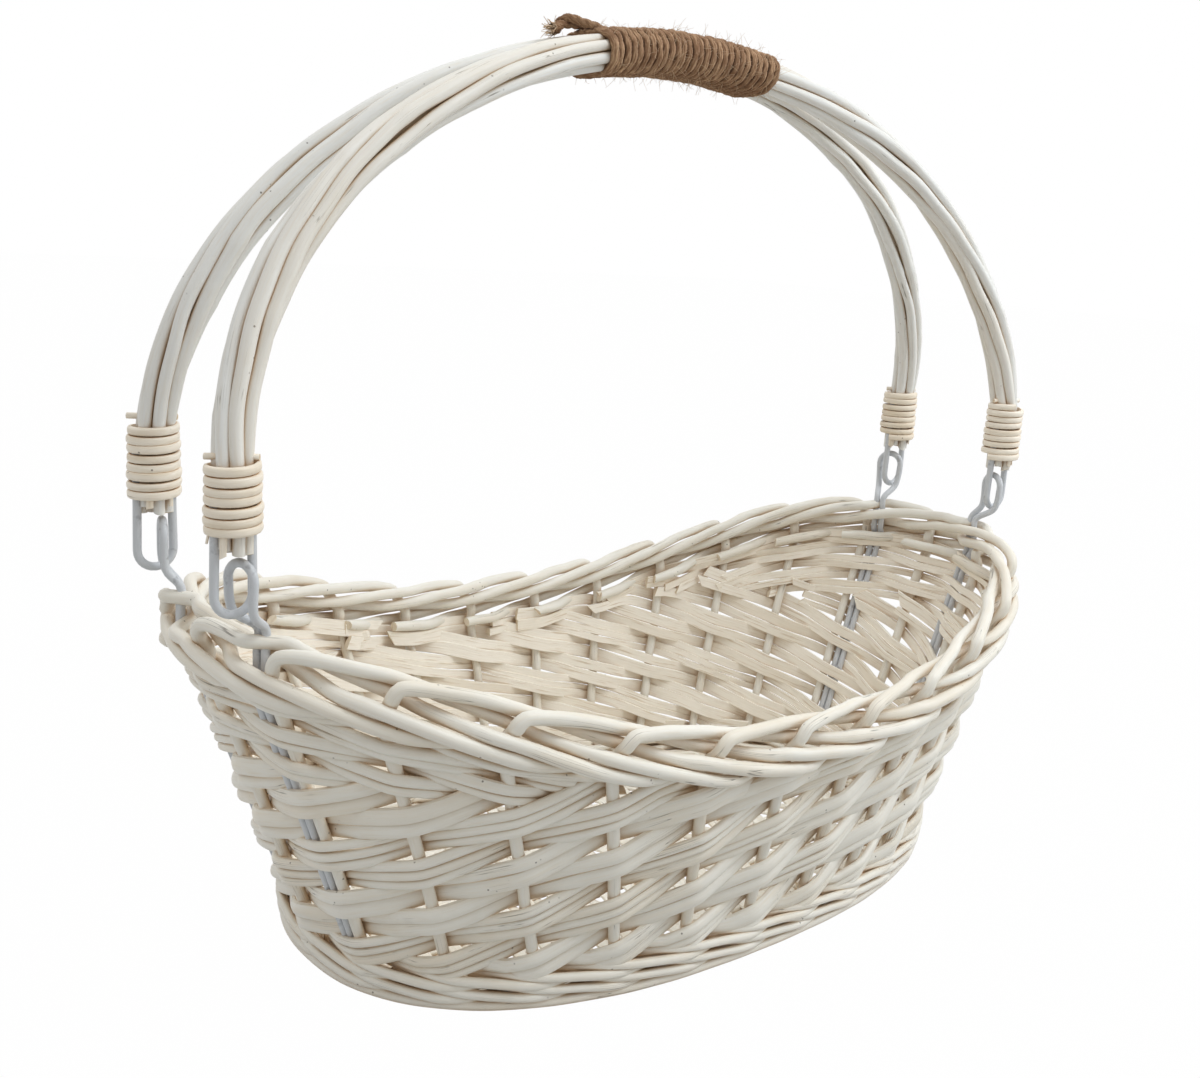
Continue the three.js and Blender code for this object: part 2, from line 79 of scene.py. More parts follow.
def paint(red: int, green: int, blue: int) -> Color:
    """A colour as it is seen on a screen, given as 0 to 255, in the scene's linear values.

    Args:
        red: Its red.
        green: Its green.
        blue: Its blue.

    Returns:
        The colour.
    """

    def linear(value: int) -> float:
        """One channel."""
        share = value / 255
        return share / 12.92 if share <= 0.04045 else ((share + 0.055) / 1.055) ** 2.4

    return (linear(red), linear(green), linear(blue), 1.0)


# Shader building


@dataclass(frozen=True)
class Value:
    """A number socket whose arithmetic adds Math nodes."""

    shader: "Shader"
    socket: Socket

    def _math(self, operation: str, first: Any, second: Any = 0.0) -> "Value":
        """One Math node."""
        made = self.shader.node("ShaderNodeMath", {"operation": operation}, {0: first, 1: second})
        return self.shader.value(made.outputs[0])

    def __add__(self, other: Any) -> "Value":
        """Sum."""
        return self._math("ADD", self, other)

    def __radd__(self, other: Any) -> "Value":
        """Sum, reflected."""
        return self._math("ADD", other, self)

    def __sub__(self, other: Any) -> "Value":
        """Difference."""
        return self._math("SUBTRACT", self, other)

    def __rsub__(self, other: Any) -> "Value":
        """Difference, reflected."""
        return self._math("SUBTRACT", other, self)

    def __mul__(self, other: Any) -> "Value":
        """Product."""
        return self._math("MULTIPLY", self, other)

    def __rmul__(self, other: Any) -> "Value":
        """Product, reflected."""
        return self._math("MULTIPLY", other, self)

    def size(self) -> "Value":
        """Absolute value."""
        return self._math("ABSOLUTE", self)

    def between(self, low: float, high: float) -> "Value":
        """A smooth step from 0 at low to 1 at high.

        Args:
            low: Where it starts.
            high: Where it ends.

        Returns:
            The step.
        """
        ends = {"Value": self, "From Min": low, "From Max": high}
        made = self.shader.node("ShaderNodeMapRange", {"interpolation_type": "SMOOTHSTEP"}, ends)
        return self.shader.value(made.outputs[0])


class Shader:
    """The nodes of a material or of the world, made by one method."""

    def __init__(self, owner: Material | bpy.types.World) -> None:
        """Empties the owner's node tree.

        Args:
            owner: The material or the world.
        """
        owner.use_nodes = True
        self.owner = owner
        self.tree = owner.node_tree
        self.tree.nodes.clear()

    def value(self, socket: Socket) -> Value:
        """Wraps a number socket."""
        return Value(self, socket)

    def node(
        self, kind: str, settings: dict | None = None, sockets: dict | None = None
    ) -> bpy.types.Node:
        """Adds a node.

        Args:
            kind: The node's type.
            settings: Its properties, set first.
            sockets: Values or links by the name or index of the input.

        Returns:
            The new node.
        """
        made = self.tree.nodes.new(kind)
        for key, setting in (settings or {}).items():
            setattr(made, key, setting)
        for key, given in (sockets or {}).items():
            if isinstance(given, Value):
                given = given.socket
            if isinstance(given, Socket):
                self.tree.links.new(given, made.inputs[key])
            else:
                made.inputs[key].default_value = given
        return made

    def mix(self, share: Any, first: Any, second: Any, blend: str = "MIX") -> Socket:
        """Mixes two colours, with a share of the second one."""
        kind = {"data_type": "RGBA", "blend_type": blend}
        return self.node("ShaderNodeMix", kind, {0: share, 6: first, 7: second}).outputs[2]

    def point(self, x: Any, y: Any, z: Any) -> Socket:
        """A vector from three numbers."""
        return self.node("ShaderNodeCombineXYZ", None, {0: x, 1: y, 2: z}).outputs[0]

    def noise(self, vector: Any, scale: float, detail: float = 2.0) -> Value:
        """Smooth noise from 0 to 1 over a vector, with some finer detail."""
        given = {"Vector": vector, "Scale": scale, "Detail": detail, "Roughness": 0.55}
        return self.value(self.node("ShaderNodeTexNoise", None, given).outputs[0])

    def place(self) -> Socket:
        """Where a spot is on its object."""
        return self.node("ShaderNodeTexCoord").outputs["Object"]

    def rod_map(self) -> list[Value]:
        """Distances along and round a rod, in centimetres.

        Returns:
            The two distances.
        """
        flat = self.node("ShaderNodeUVMap", {"uv_map": RodMesh.UV})
        axes = self.node("ShaderNodeSeparateXYZ", None, {0: flat.outputs[0]})
        return [self.value(axes.outputs[i]) for i in range(2)]

    def rod_data(self) -> list[Value]:
        """A rod's tone, and whether a spot is bark and a cut end.

        Returns:
            The three numbers, from 0 to 1.
        """
        noted = self.node("ShaderNodeAttribute", {"attribute_name": RodMesh.DATA})
        parts = self.node("ShaderNodeSeparateColor", None, {0: noted.outputs["Color"]})
        return [self.value(parts.outputs[i]) for i in range(3)]

    def hollows(self, reach: float, low: float, high: float) -> Value:
        """How closed in a spot is within reach metres: 0 at a share of low, 1 at one of high."""
        made = self.node("ShaderNodeAmbientOcclusion", {"samples": 6}, {"Distance": reach})
        return (1 - self.value(made.outputs["AO"])).between(low, high)

    def bump(self, height: Value, reach: float, strength: float = 1.0) -> Socket:
        """A normal that follows a height, reach metres high."""
        given = {"Height": height, "Distance": reach, "Strength": strength}
        return self.node("ShaderNodeBump", None, given).outputs["Normal"]

    def close(self, **sockets: Any) -> Material:
        """Ends the material in a Principled shader.

        Args:
            **sockets: The shader's inputs, with _ for a space.

        Returns:
            The material.
        """
        named = {key.replace("_", " "): given for key, given in sockets.items()}
        surface = self.node("ShaderNodeBsdfPrincipled", None, named)
        self.node("ShaderNodeOutputMaterial", None, {"Surface": surface.outputs[0]})
        return self.owner


@dataclass(frozen=True)
class WillowFinish:
    """White-washed willow: painted bark outside, grained wood where split or cut, painted shade in
    crevices.
    """

    name: str
    bark: Color = paint(236, 234, 226)
    thin: Color = paint(226, 213, 190)
    split: Color = paint(255, 250, 240)
    grain: Color = paint(198, 172, 136)
    # Painted shade: the warm brown multiplied into crevices where pieces close each other in.
    crevice_shade: Color = paint(214, 168, 100)
    speck: Color = paint(72, 60, 48)
    worn: float = 0.3
    grained: float = 0.55
    # Strength of the painted crevice shade, and the reach of its occlusion test in metres.
    shaded: float = 0.68
    hollow: float = 0.009
    bump: float = 0.35
    patch_scale: float = 34.0
    speck_scale: float = 330.0
    rare_scale: float = 75.0
    drawn: tuple[tuple[float, float, float, float], ...] = (
        (1.1, 16.0, 53.0, 3.0),
        (0.5, 11.0, 91.0, 2.0),
        (0.3, 3.0, 17.0, 1.0),
        (0.1, 5.0, 37.0, 1.0),
    )

    def _drawn_out(self, shader: Shader, along: Value, around: Value, tone: Value) -> list[Value]:
        """Noises drawn out along a rod: its fibres, grain lines, streaks and cracks.

        Args:
            shader: The material's nodes.
            along: Distance along the rod.
            around: Distance round the rod.
            tone: The number that tells the rod from its neighbours.

        Returns:
            One noise for each row of drawn, which gives its waves along and round the rod,
            its shift from rod to rod, and its detail.
        """
        return [
            shader.noise(shader.point(along * length, around * width, tone * shift), 1.0, detail)
            for length, width, shift, detail in self.drawn
        ]

    def material(self) -> Material:
        """Builds the material from the rods' data and their lengthwise map.

        Returns:
            The material.
        """
        shader = Shader(bpy.data.materials.new(self.name))
        tone, bark, cut = shader.rod_data()
        along, around = shader.rod_map()
        here = shader.place()
        fibre, lines, streak, crack = self._drawn_out(shader, along, around, tone)
        patch = shader.noise(here, self.patch_scale, 3.0)

        worn = (patch * 0.6 + streak * 0.5).between(0.5, 0.72) * self.worn
        outside = shader.mix(worn, self.bark, self.thin)
        outside = shader.mix(fibre.between(0.4, 0.75) * 0.24, outside, self.thin)
        spots = {"Vector": here, "Scale": self.speck_scale}
        cells = shader.node("ShaderNodeTexVoronoi", None, spots)
        near = 1 - shader.value(cells.outputs["Distance"]).between(0.06, 0.16)
        rare = shader.noise(here, self.rare_scale, 1.0).between(0.6, 0.66)
        outside = shader.mix(near * rare * 0.85, outside, self.speck)
        hair = 1 - (crack - 0.5).size().between(0.002, 0.008)
        hair = hair * patch.between(0.5, 0.6) * 0.65
        outside = shader.mix(hair, outside, self.speck)

        inside = shader.mix(lines.between(0.56, 0.72) * self.grained, self.split, self.grain)
        inside = shader.mix(fibre.between(0.3, 0.8) * 0.2, inside, self.thin)
        color = shader.mix(bark, inside, outside)
        pith = shader.mix(fibre.between(0.4, 0.7) * 0.5, self.thin, self.grain)
        color = shader.mix(cut * 0.75, color, pith)
        deep = shader.mix((tone - 0.6).between(0.0, 0.4) * 0.3, color, self.thin)
        # Painted shade: occlusion darkens the colour toward the crevice colour, more on the bark.
        dark = shader.hollows(self.hollow, 0.25, 1.0) * self.shaded * (0.7 + bark * 0.3)
        color = shader.mix(dark, deep, self.crevice_shade, "MULTIPLY")

        height = fibre * 0.5 + lines * (1 - bark) * 0.8 + patch * 0.2 - hair
        return shader.close(
            Base_Color=color,
            Roughness=0.78 - bark * 0.39 + patch * 0.12,
            Normal=shader.bump(height, 0.0004, self.bump),
        )


@dataclass(frozen=True)
class WireFinish:
    """Wire with a pale grey coat that has thin places."""

    name: str = "painted_wire"
    coat: Color = paint(204, 208, 213)
    metal: Color = paint(132, 134, 137)
    patch_scale: float = 160.0
    pore_scale: float = 900.0

    def material(self) -> Material:
        """Builds the material.

        Returns:
            The material.
        """
        shader = Shader(bpy.data.materials.new(self.name))
        here = shader.place()
        patch = shader.noise(here, self.patch_scale, 3.0)
        thin = patch.between(0.6, 0.7) * 0.5
        return shader.close(
            Base_Color=shader.mix(thin, self.coat, self.metal),
            Metallic=thin * 0.8,
            Roughness=0.34 + patch * 0.2,
            Normal=shader.bump(shader.noise(here, self.pore_scale), 0.0001),
        )


@dataclass(frozen=True)
class JuteFinish:
    """Spun jute: light and dark fibres along the twine, with painted shade in its grooves."""

    name: str = "jute_fibre"
    light: Color = paint(226, 188, 150)
    dark: Color = paint(136, 101, 73)
    # Painted shade: the dark brown laid into the grooves between turns.
    groove: Color = paint(66, 45, 30)
    loose: Color = paint(216, 188, 156)
    patch_scale: float = 90.0

    def material(self) -> Material:
        """Builds the material.

        Returns:
            The material.
        """
        shader = Shader(bpy.data.materials.new(self.name))
        along, around = shader.rod_map()
        tone = shader.rod_data()[0]
        spun = shader.point(along * 3, around * 16 + along * 14, 0.0)
        strand = shader.noise(spun, 1.0, 4.0)
        patch = shader.noise(shader.place(), self.patch_scale)
        share = (strand * 0.75 + patch * 0.35).between(0.44, 0.86)
        color = shader.mix(share, self.dark, self.light)
        color = shader.mix(tone.between(0.7, 0.8), color, self.loose)
        # Painted shade: occlusion darkens the grooves toward the groove colour.
        color = shader.mix(shader.hollows(0.0025, 0.2, 0.8) * 0.85, color, self.groove)
        return shader.close(Base_Color=color, Roughness=0.9, Normal=shader.bump(strand, 0.0006))


@dataclass(frozen=True)
class FloorFinish:
    """A pale floor that reads as white and keeps the basket's shadow."""

    name: str = "pale_floor"
    ground: Color = (0.5, 0.5, 0.49, 1.0)
    lit: float = 0.992

    def material(self) -> Material:
        """Builds the material.

        Returns:
            The material.
        """
        shader = Shader(bpy.data.materials.new(self.name))
        rays = shader.node("ShaderNodeLightPath")
        seen, mirrored, passed = (
            shader.value(rays.outputs[f"Is {kind} Ray"])
            for kind in ("Camera", "Glossy", "Transmission")
        )
        ground = shader.node("ShaderNodeBsdfDiffuse", None, {"Color": self.ground})
        glow = shader.node("ShaderNodeEmission", None, {"Color": WHITE})
        share = (seen + mirrored + passed) * self.lit
        parts = {0: share, 1: ground.outputs[0], 2: glow.outputs[0]}
        both = shader.node("ShaderNodeMixShader", None, parts)
        shader.node("ShaderNodeOutputMaterial", None, {"Surface": both.outputs[0]})
        return shader.owner


# Lines and rods


def smooth(points: Any, step: float, closed: bool = False) -> Array:
    """A smooth line through points.

    Args:
        points: The points, n by 3.
        step: About how far apart the new points are.
        closed: Whether the line meets itself.

    Returns:
        The new points.
    """
    given = np.asarray(points, float)
    if closed:
        ends = np.vstack([given[-1:], given, given[:2]])
    else:
        ends = np.vstack([2 * given[0] - given[1], given, 2 * given[-1] - given[-2]])
    made = []
    for i in range(len(ends) - 3):
        a, b, c, d = ends[i : i + 4]
        count = max(1, round(float(np.linalg.norm(c - b)) / step))
        t = (np.arange(count) / count)[:, None]
        bend, twist = 2 * a - 5 * b + 4 * c - d, 3 * b - a - 3 * c + d
        made.append(0.5 * (2 * b + (c - a) * t + bend * t**2 + twist * t**3))
    if not closed:
        made.append(given[-1:])
    return np.vstack(made)


def unit(vectors: Array) -> Array:
    """Vectors of length 1."""
    return vectors / np.maximum(np.linalg.norm(vectors, axis=-1, keepdims=True), 1e-9)


def wander(rng: Rng, distance: Array, reach: float) -> Array:
    """A slow drift along a rod.

    Args:
        rng: Where the phases come from.
        distance: Distance along the rod.
        reach: The most that it drifts, about.

    Returns:
        The drift at each distance.
    """
    drift = np.zeros_like(distance)
    for length, share in WAVES:
        drift += share * np.sin(TURN * distance / length + rng.uniform(0, TURN))
    return drift * reach


def knots(rng: Rng, distance: Array, count: int, span: Sequence[float]) -> Array:
    """How much thicker a rod is at its knots.

    Args:
        rng: Where the knots' places come from.
        distance: Distance along the rod.
        count: How many knots it has.
        span: The distances between which they lie, and the length of one.

    Returns:
        The extra width at each distance.
    """
    low, high, length = span
    bumps = [np.exp(-(((distance - rng.uniform(low, high)) / length) ** 2)) for _ in range(count)]
    return 0.5 * sum(bumps)


class Section(Enum):
    """Cross-sections of what the basket is made of."""

    ROUND = "round"
    SPLIT = "split"
    STRAP = "strap"
    PLIED = "plied"

    def outline(self) -> tuple[Array, Array]:
        """The outline in widths and depths, and which of its points are bark.

        Returns:
            The points, n by 2, and 1 for each that is bark, 0 for the others.
        """
        sides = 12
        angle = np.arange(sides) * TURN / sides
        round_outline = np.stack([np.cos(angle), np.sin(angle)], 1)
        if self is Section.ROUND:
            return round_outline * 0.5, np.ones(sides)
        if self is Section.PLIED:
            waist = 0.39 + 0.11 * np.abs(np.cos(angle)) ** 0.8
            return round_outline * waist[:, None], np.ones(sides)
        angle = np.linspace(0, math.pi, 7)
        crown, fullness = (0.8, 0.75) if self is Section.SPLIT else (0.9, 0.5)
        arc = np.stack([np.cos(angle) / 2, 0.5 - crown + crown * np.sin(angle) ** fullness], 1)
        flat = np.array([[-0.45, -0.5], [0.0, -0.47], [0.45, -0.5]])
        return np.vstack([arc, flat]), np.array([1.0] * 7 + [0.0] * 3)


@dataclass
class RodMesh:
    """Rods lofted along their lines into one mesh, with data for their material."""

    UV = "Rod"
    DATA = "Rod data"

    name: str
    points: list[Array] = field(default_factory=list)
    faces: list[tuple[int, ...]] = field(default_factory=list)
    flats: list[Array] = field(default_factory=list)
    data: list[Array] = field(default_factory=list)
    count: int = 0

    @staticmethod
    def _frames(path: Array, outward: Array | None, closed: bool) -> tuple[Array, Array, Array]:
        """Directions along, across and outward at each point of a line.

        Args:
            path: The line, n by 3.
            outward: Which way its outer side faces at each point, where that is set.
            closed: Whether the line meets itself.

        Returns:
            The three directions, each n by 3.
        """
        if closed:
            along = unit(np.roll(path, -1, 0) - np.roll(path, 1, 0))
        else:
            along = unit(np.gradient(path, axis=0))
        if outward is not None:
            depth = unit(outward - along * np.sum(outward * along, 1, keepdims=True))
            return along, np.cross(depth, along), depth
        axis = np.array([0.0, 0.0, 1.0])
        if abs(along[0, 2]) > 0.8:
            axis = np.array([1.0, 0.0, 0.0])
        depth = np.empty_like(path)
        for i, heading in enumerate(along):
            axis = axis - heading * float(axis @ heading)
            axis = axis / np.linalg.norm(axis)
            depth[i] = axis
        return along, np.cross(depth, along), depth

    def add(
        self,
        path: Array,
        width: Any,
        depth: Any = None,
        section: Section = Section.ROUND,
        outward: Array | None = None,
        tone: float = 0.5,
        cuts: tuple[float, float] = (0.0, 0.0),
        roll: Array | None = None,
        closed: bool = False,
    ) -> None:
        """Lofts one rod.

        Args:
            path: Its line, n by 3.
            width: Its width, one number or one for each point.
            depth: Its thickness, the width where it isn't given.
            section: Its cross-section.
            outward: Which way its outer side faces at each point.
            tone: A number from 0 to 1 that tells it from its neighbours.
            cuts: How far its two ends are cut aslant, in widths.
            roll: Turn of the section at each point, in radians.
            closed: Whether the rod meets itself.
        """
        outline, bark = section.outline()
        sides, rings, first = len(outline), len(path), self.count
        width = np.broadcast_to(np.asarray(width, float), rings)
        depth = width if depth is None else np.broadcast_to(depth, rings)
        along, across, out = self._frames(path, outward, closed)
        if roll is not None:
            cos, sin = np.cos(roll)[:, None], np.sin(roll)[:, None]
            across, out = across * cos + out * sin, out * cos - across * sin
        x = outline[None, :, 0] * width[:, None]
        y = outline[None, :, 1] * depth[:, None]
        ring = path[:, None] + across[:, None] * x[..., None] + out[:, None] * y[..., None]
        ring[0] += along[0] * (cuts[0] * x[0])[:, None]
        ring[-1] -= along[-1] * (cuts[1] * x[-1])[:, None]
        self.points.append(ring.reshape(-1, 3))
        self.count += rings * sides
        spots = self._sides(first, path, outline, float(width.mean()), closed)
        self._note(tone, bark[spots], 0.0)
        if closed:
            return
        for end in (0, rings - 1):
            self._cap(first + end * sides, ring[end], outline, float(width[end]), end == 0)
            self._note(tone, np.zeros(3 * sides), 1.0)

    def _sides(self, first: int, path: Array, outline: Array, width: float, closed: bool) -> Array:
        """Adds the faces between a rod's rings, with their map.

        Args:
            first: The number of the rod's first point.
            path: Its line.
            outline: Its section.
            width: Its mean width.
            closed: Whether it meets itself.

        Returns:
            For each corner of the faces, which point of the section it lies on.
        """
        steps = np.linalg.norm(np.diff(path, axis=0), axis=1)
        distance = np.concatenate([[0.0], np.cumsum(steps)]) / 10
        lengths = np.linalg.norm(np.diff(np.vstack([outline, outline[:1]]), axis=0), axis=1)
        girth = np.concatenate([[0.0], np.cumsum(lengths)]) * width / 10
        sides, rings = len(outline), len(path)
        spans = rings if closed else rings - 1
        i, j = np.repeat(np.arange(spans), sides), np.tile(np.arange(sides), spans)
        i_next, j_next = (i + 1) % rings, (j + 1) % sides
        corners = [(i, j), (i, j_next), (i_next, j_next), (i_next, j)]
        quads = np.stack([first + a * sides + b for a, b in corners], 1)
        self.faces.extend(map(tuple, quads.tolist()))
        last = distance[-1] + (steps.mean() / 10 if closed else 0.0)
        after = np.append(distance[1:], last)[i]
        u = np.stack([distance[i], distance[i], after, after], 1)
        v = np.stack([girth[j], girth[j + 1], girth[j + 1], girth[j]], 1)
        self.flats.append(np.stack([u, v], 2).reshape(-1, 2))
        return np.stack([j, j_next, j_next, j], 1).ravel()

    def _cap(self, start: int, ring: Array, outline: Array, width: float, flip: bool) -> None:
        """Closes one end of a rod, with its map.

        Args:
            start: The number of the first point of the end's ring.
            ring: The points of that ring.
            outline: The rod's section.
            width: The rod's width there.
            flip: Whether it is the end where the rod starts.
        """
        self.points.append(ring.mean(0, keepdims=True))
        sides = len(outline)
        for k in range(sides):
            pair = (k + 1) % sides, k
            a, b = pair if flip else pair[::-1]
            self.faces.append((self.count, start + a, start + b))
            spots = np.array([[0.0, 0.0], outline[a], outline[b]])
            self.flats.append(spots * width / 10)
        self.count += 1

    def _note(self, tone: float, bark: Array, cut: float) -> None:
        """Keeps the material data of some face corners.

        Args:
            tone: The rod's tone.
            bark: For each corner, whether it is bark.
            cut: 1 on a cut end, 0 elsewhere.
        """
        rows = np.empty((len(bark), 4))
        rows[:, 0], rows[:, 1], rows[:, 2], rows[:, 3] = tone, bark, cut, 1.0
        self.data.append(rows)

    def make(self, crease: float = 40.0) -> bpy.types.Object:
        """Makes the object, smooth but for its cut edges.

        Args:
            crease: The angle in degrees above which an edge stays sharp.

        Returns:
            The new object, at the origin.
        """
        mesh = bpy.data.meshes.new(self.name)
        mesh.from_pydata((np.vstack(self.points) * MM).tolist(), [], self.faces)
        flat = mesh.uv_layers.new(name=self.UV)
        flat.data.foreach_set("uv", np.vstack(self.flats).ravel())
        noted = mesh.color_attributes.new(self.DATA, "FLOAT_COLOR", "CORNER")
        noted.data.foreach_set("color", np.vstack(self.data).ravel())
        made = bpy.data.objects.new(self.name, mesh)
        bpy.context.scene.collection.objects.link(made)
        select_only(made)
        bpy.ops.object.shade_smooth_by_angle(angle=math.radians(crease))
        return made


def select_only(piece: bpy.types.Object | None) -> None:
    """Selects one object, or none.

    Args:
        piece: The object, or None.
    """
    for other in bpy.context.view_layer.objects:
        other.select_set(False)
    bpy.context.view_layer.objects.active = piece
    if piece is not None:
        piece.select_set(True)


class Slot(Enum):
    """Material slots of the record."""

    RODS = "willow_rods"
    WEAVE = "willow_weave"
    CANE = "cane"
    WIRE = "wire"
    JUTE = "jute"


class Body(Enum):
    """Bodies of the record."""

    BASKET = "basket"
    HANDLE = "handle"


def dress(
    piece: bpy.types.Object,
    finish: Material,
    body: Body,
    stands_for: Iterable[str] = (),
) -> None:
    """Gives a piece its finish and ties it to the frame.

    Args:
        piece: The finished piece.
        finish: Its material.
        body: The body that it moves with.
        stands_for: The nodes that it is shown for.
    """
    piece.data.materials.clear()
    piece.data.materials.append(finish)
    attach(piece, body.value)
    if stands_for:
        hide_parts(*stands_for)
    LOG.info("%s: %d faces, on %s", piece.name, len(piece.data.polygons), body.value)


# The body's shape


@dataclass(frozen=True)
class Outline:
    """The saddle-rimmed oval that the solids have; spacing is between stakes, halfway up."""

    rim_length: float = 389.0
    rim_width: float = 207.0
    foot_length: float = 307.0
    foot_width: float = 175.0
    power: float = 2.35
    rim_end: float = 143.7
    rim_middle: float = 106.0
    shoulder: float = 6.8
    stakes: int = 26
    foot: float = 9.7
    border_depth: float = 11.284
    border_drop: float = 12.09
    spacing: float = 34.148
    samples: int = 1440

    def oval(self, angle: Any, half_length: Any, half_width: Any) -> Array:
        """Points of an oval, n by 2.

        Args:
            angle: Where on it, in radians.
            half_length: Half its length.
            half_width: Half its width.

        Returns:
            The points.
        """
        cos, sin = np.cos(angle), np.sin(angle)
        x = half_length * np.sign(cos) * np.abs(cos) ** (2 / self.power)
        y = half_width * np.sign(sin) * np.abs(sin) ** (2 / self.power)
        return np.stack([x, y], -1)

    @cached_property
    def shares(self) -> Array:
        """Share of the way round at equal steps of the angle.

        Returns:
            The shares, from 0 to 1.
        """
        angle = np.linspace(0, TURN, self.samples + 1)
        length, width = self.rim_length + self.foot_length, self.rim_width + self.foot_width
        ring = self.oval(angle, length / 4, width / 4)
        run = np.cumsum(np.linalg.norm(np.diff(ring, axis=0), axis=1))
        return np.concatenate([[0.0], run]) / run[-1]

    def angle(self, place: Any) -> Array:
        """Angle of a place that is given in stakes round from the right-hand end."""
        share = np.mod(np.asarray(place, float), self.stakes) / self.stakes
        return np.interp(share, self.shares, np.linspace(0, TURN, self.samples + 1))

    def rim(self, place: Any) -> Array:
        """Height of the border's top at a place.

        Args:
            place: Places in stakes, from the right-hand end.

        Returns:
            The heights.
        """
        angle = self.angle(place)
        wave = (self.rim_end - self.rim_middle) / 2 * np.cos(2 * angle)
        mean = (self.rim_end + self.rim_middle) / 2
        return mean + wave + self.shoulder * np.sin(2 * angle) ** 2

    def top(self, place: Any) -> Array:
        """Height where the wall ends and the stakes bend over."""
        return self.rim(place) - self.border_depth - self.border_drop

    def wall(self, place: Any, z: Any, out: Any = 0.0) -> tuple[Array, Array]:
        """Points of the wall.

        Args:
            place: Places in stakes.
            z: Heights.
            out: Distances out from the middle of the stakes.

        Returns:
            The points and the directions out of the wall there.
        """
        place, z, out = np.broadcast_arrays(*(np.asarray(v, float) for v in (place, z, out)))
        angle = self.angle(place)
        share = np.clip((z - self.foot) / (self.top(place) - self.foot), 0, 1)
        length = (self.foot_length + (self.rim_length - self.foot_length) * share) / 2
        width = (self.foot_width + (self.rim_width - self.foot_width) * share) / 2
        here = self.oval(angle, length, width)
        before, after = (self.oval(angle + turn, length, width) for turn in (-0.01, 0.01))
        along = unit(after - before)
        normal = np.stack([along[..., 1], -along[..., 0], np.zeros_like(z)], -1)
        points = np.concatenate([here, z[..., None]], -1) + normal * out[..., None]
        return points, normal

    def border(self, place: Any, out: Any, height: Any) -> Array:
        """Points of the border, with heights counted from its middle.

        Args:
            place: Places in stakes, from the right-hand end.
            out: Distances out from the middle of the stakes.
            height: Heights over the border's middle.

        Returns:
            The points.
        """
        points, _ = self.wall(place, self.rim_end, out)
        points[..., 2] = self.rim(place) - self.border_depth + height
        return points


@dataclass(frozen=True)
class Link:
    """Where one foot of the handle is linked to the basket."""

    name: str
    stake: int
    side: int
    end: int
    arch: int

    @property
    def lean(self) -> float:
        """How far its legs lean off their stake."""
        return 4.0 if self.side > 0 else 0.0

    @property
    def seat_out(self) -> float:
        """How far out its legs pass through the border."""
        return 2.42 if self.side > 0 else -0.37

    def seat_place(self, spacing: float) -> float:
        """Where its legs pass through the border, in stakes."""
        return self.stake + self.side * (6.23 + self.lean) / spacing


LINKS = (
    Link("front_left", 14, -1, -1, -1),
    Link("rear_left", 12, 1, -1, 1),
    Link("front_right", 25, 1, 1, -1),
    Link("rear_right", 1, -1, 1, 1),
)


# The basket


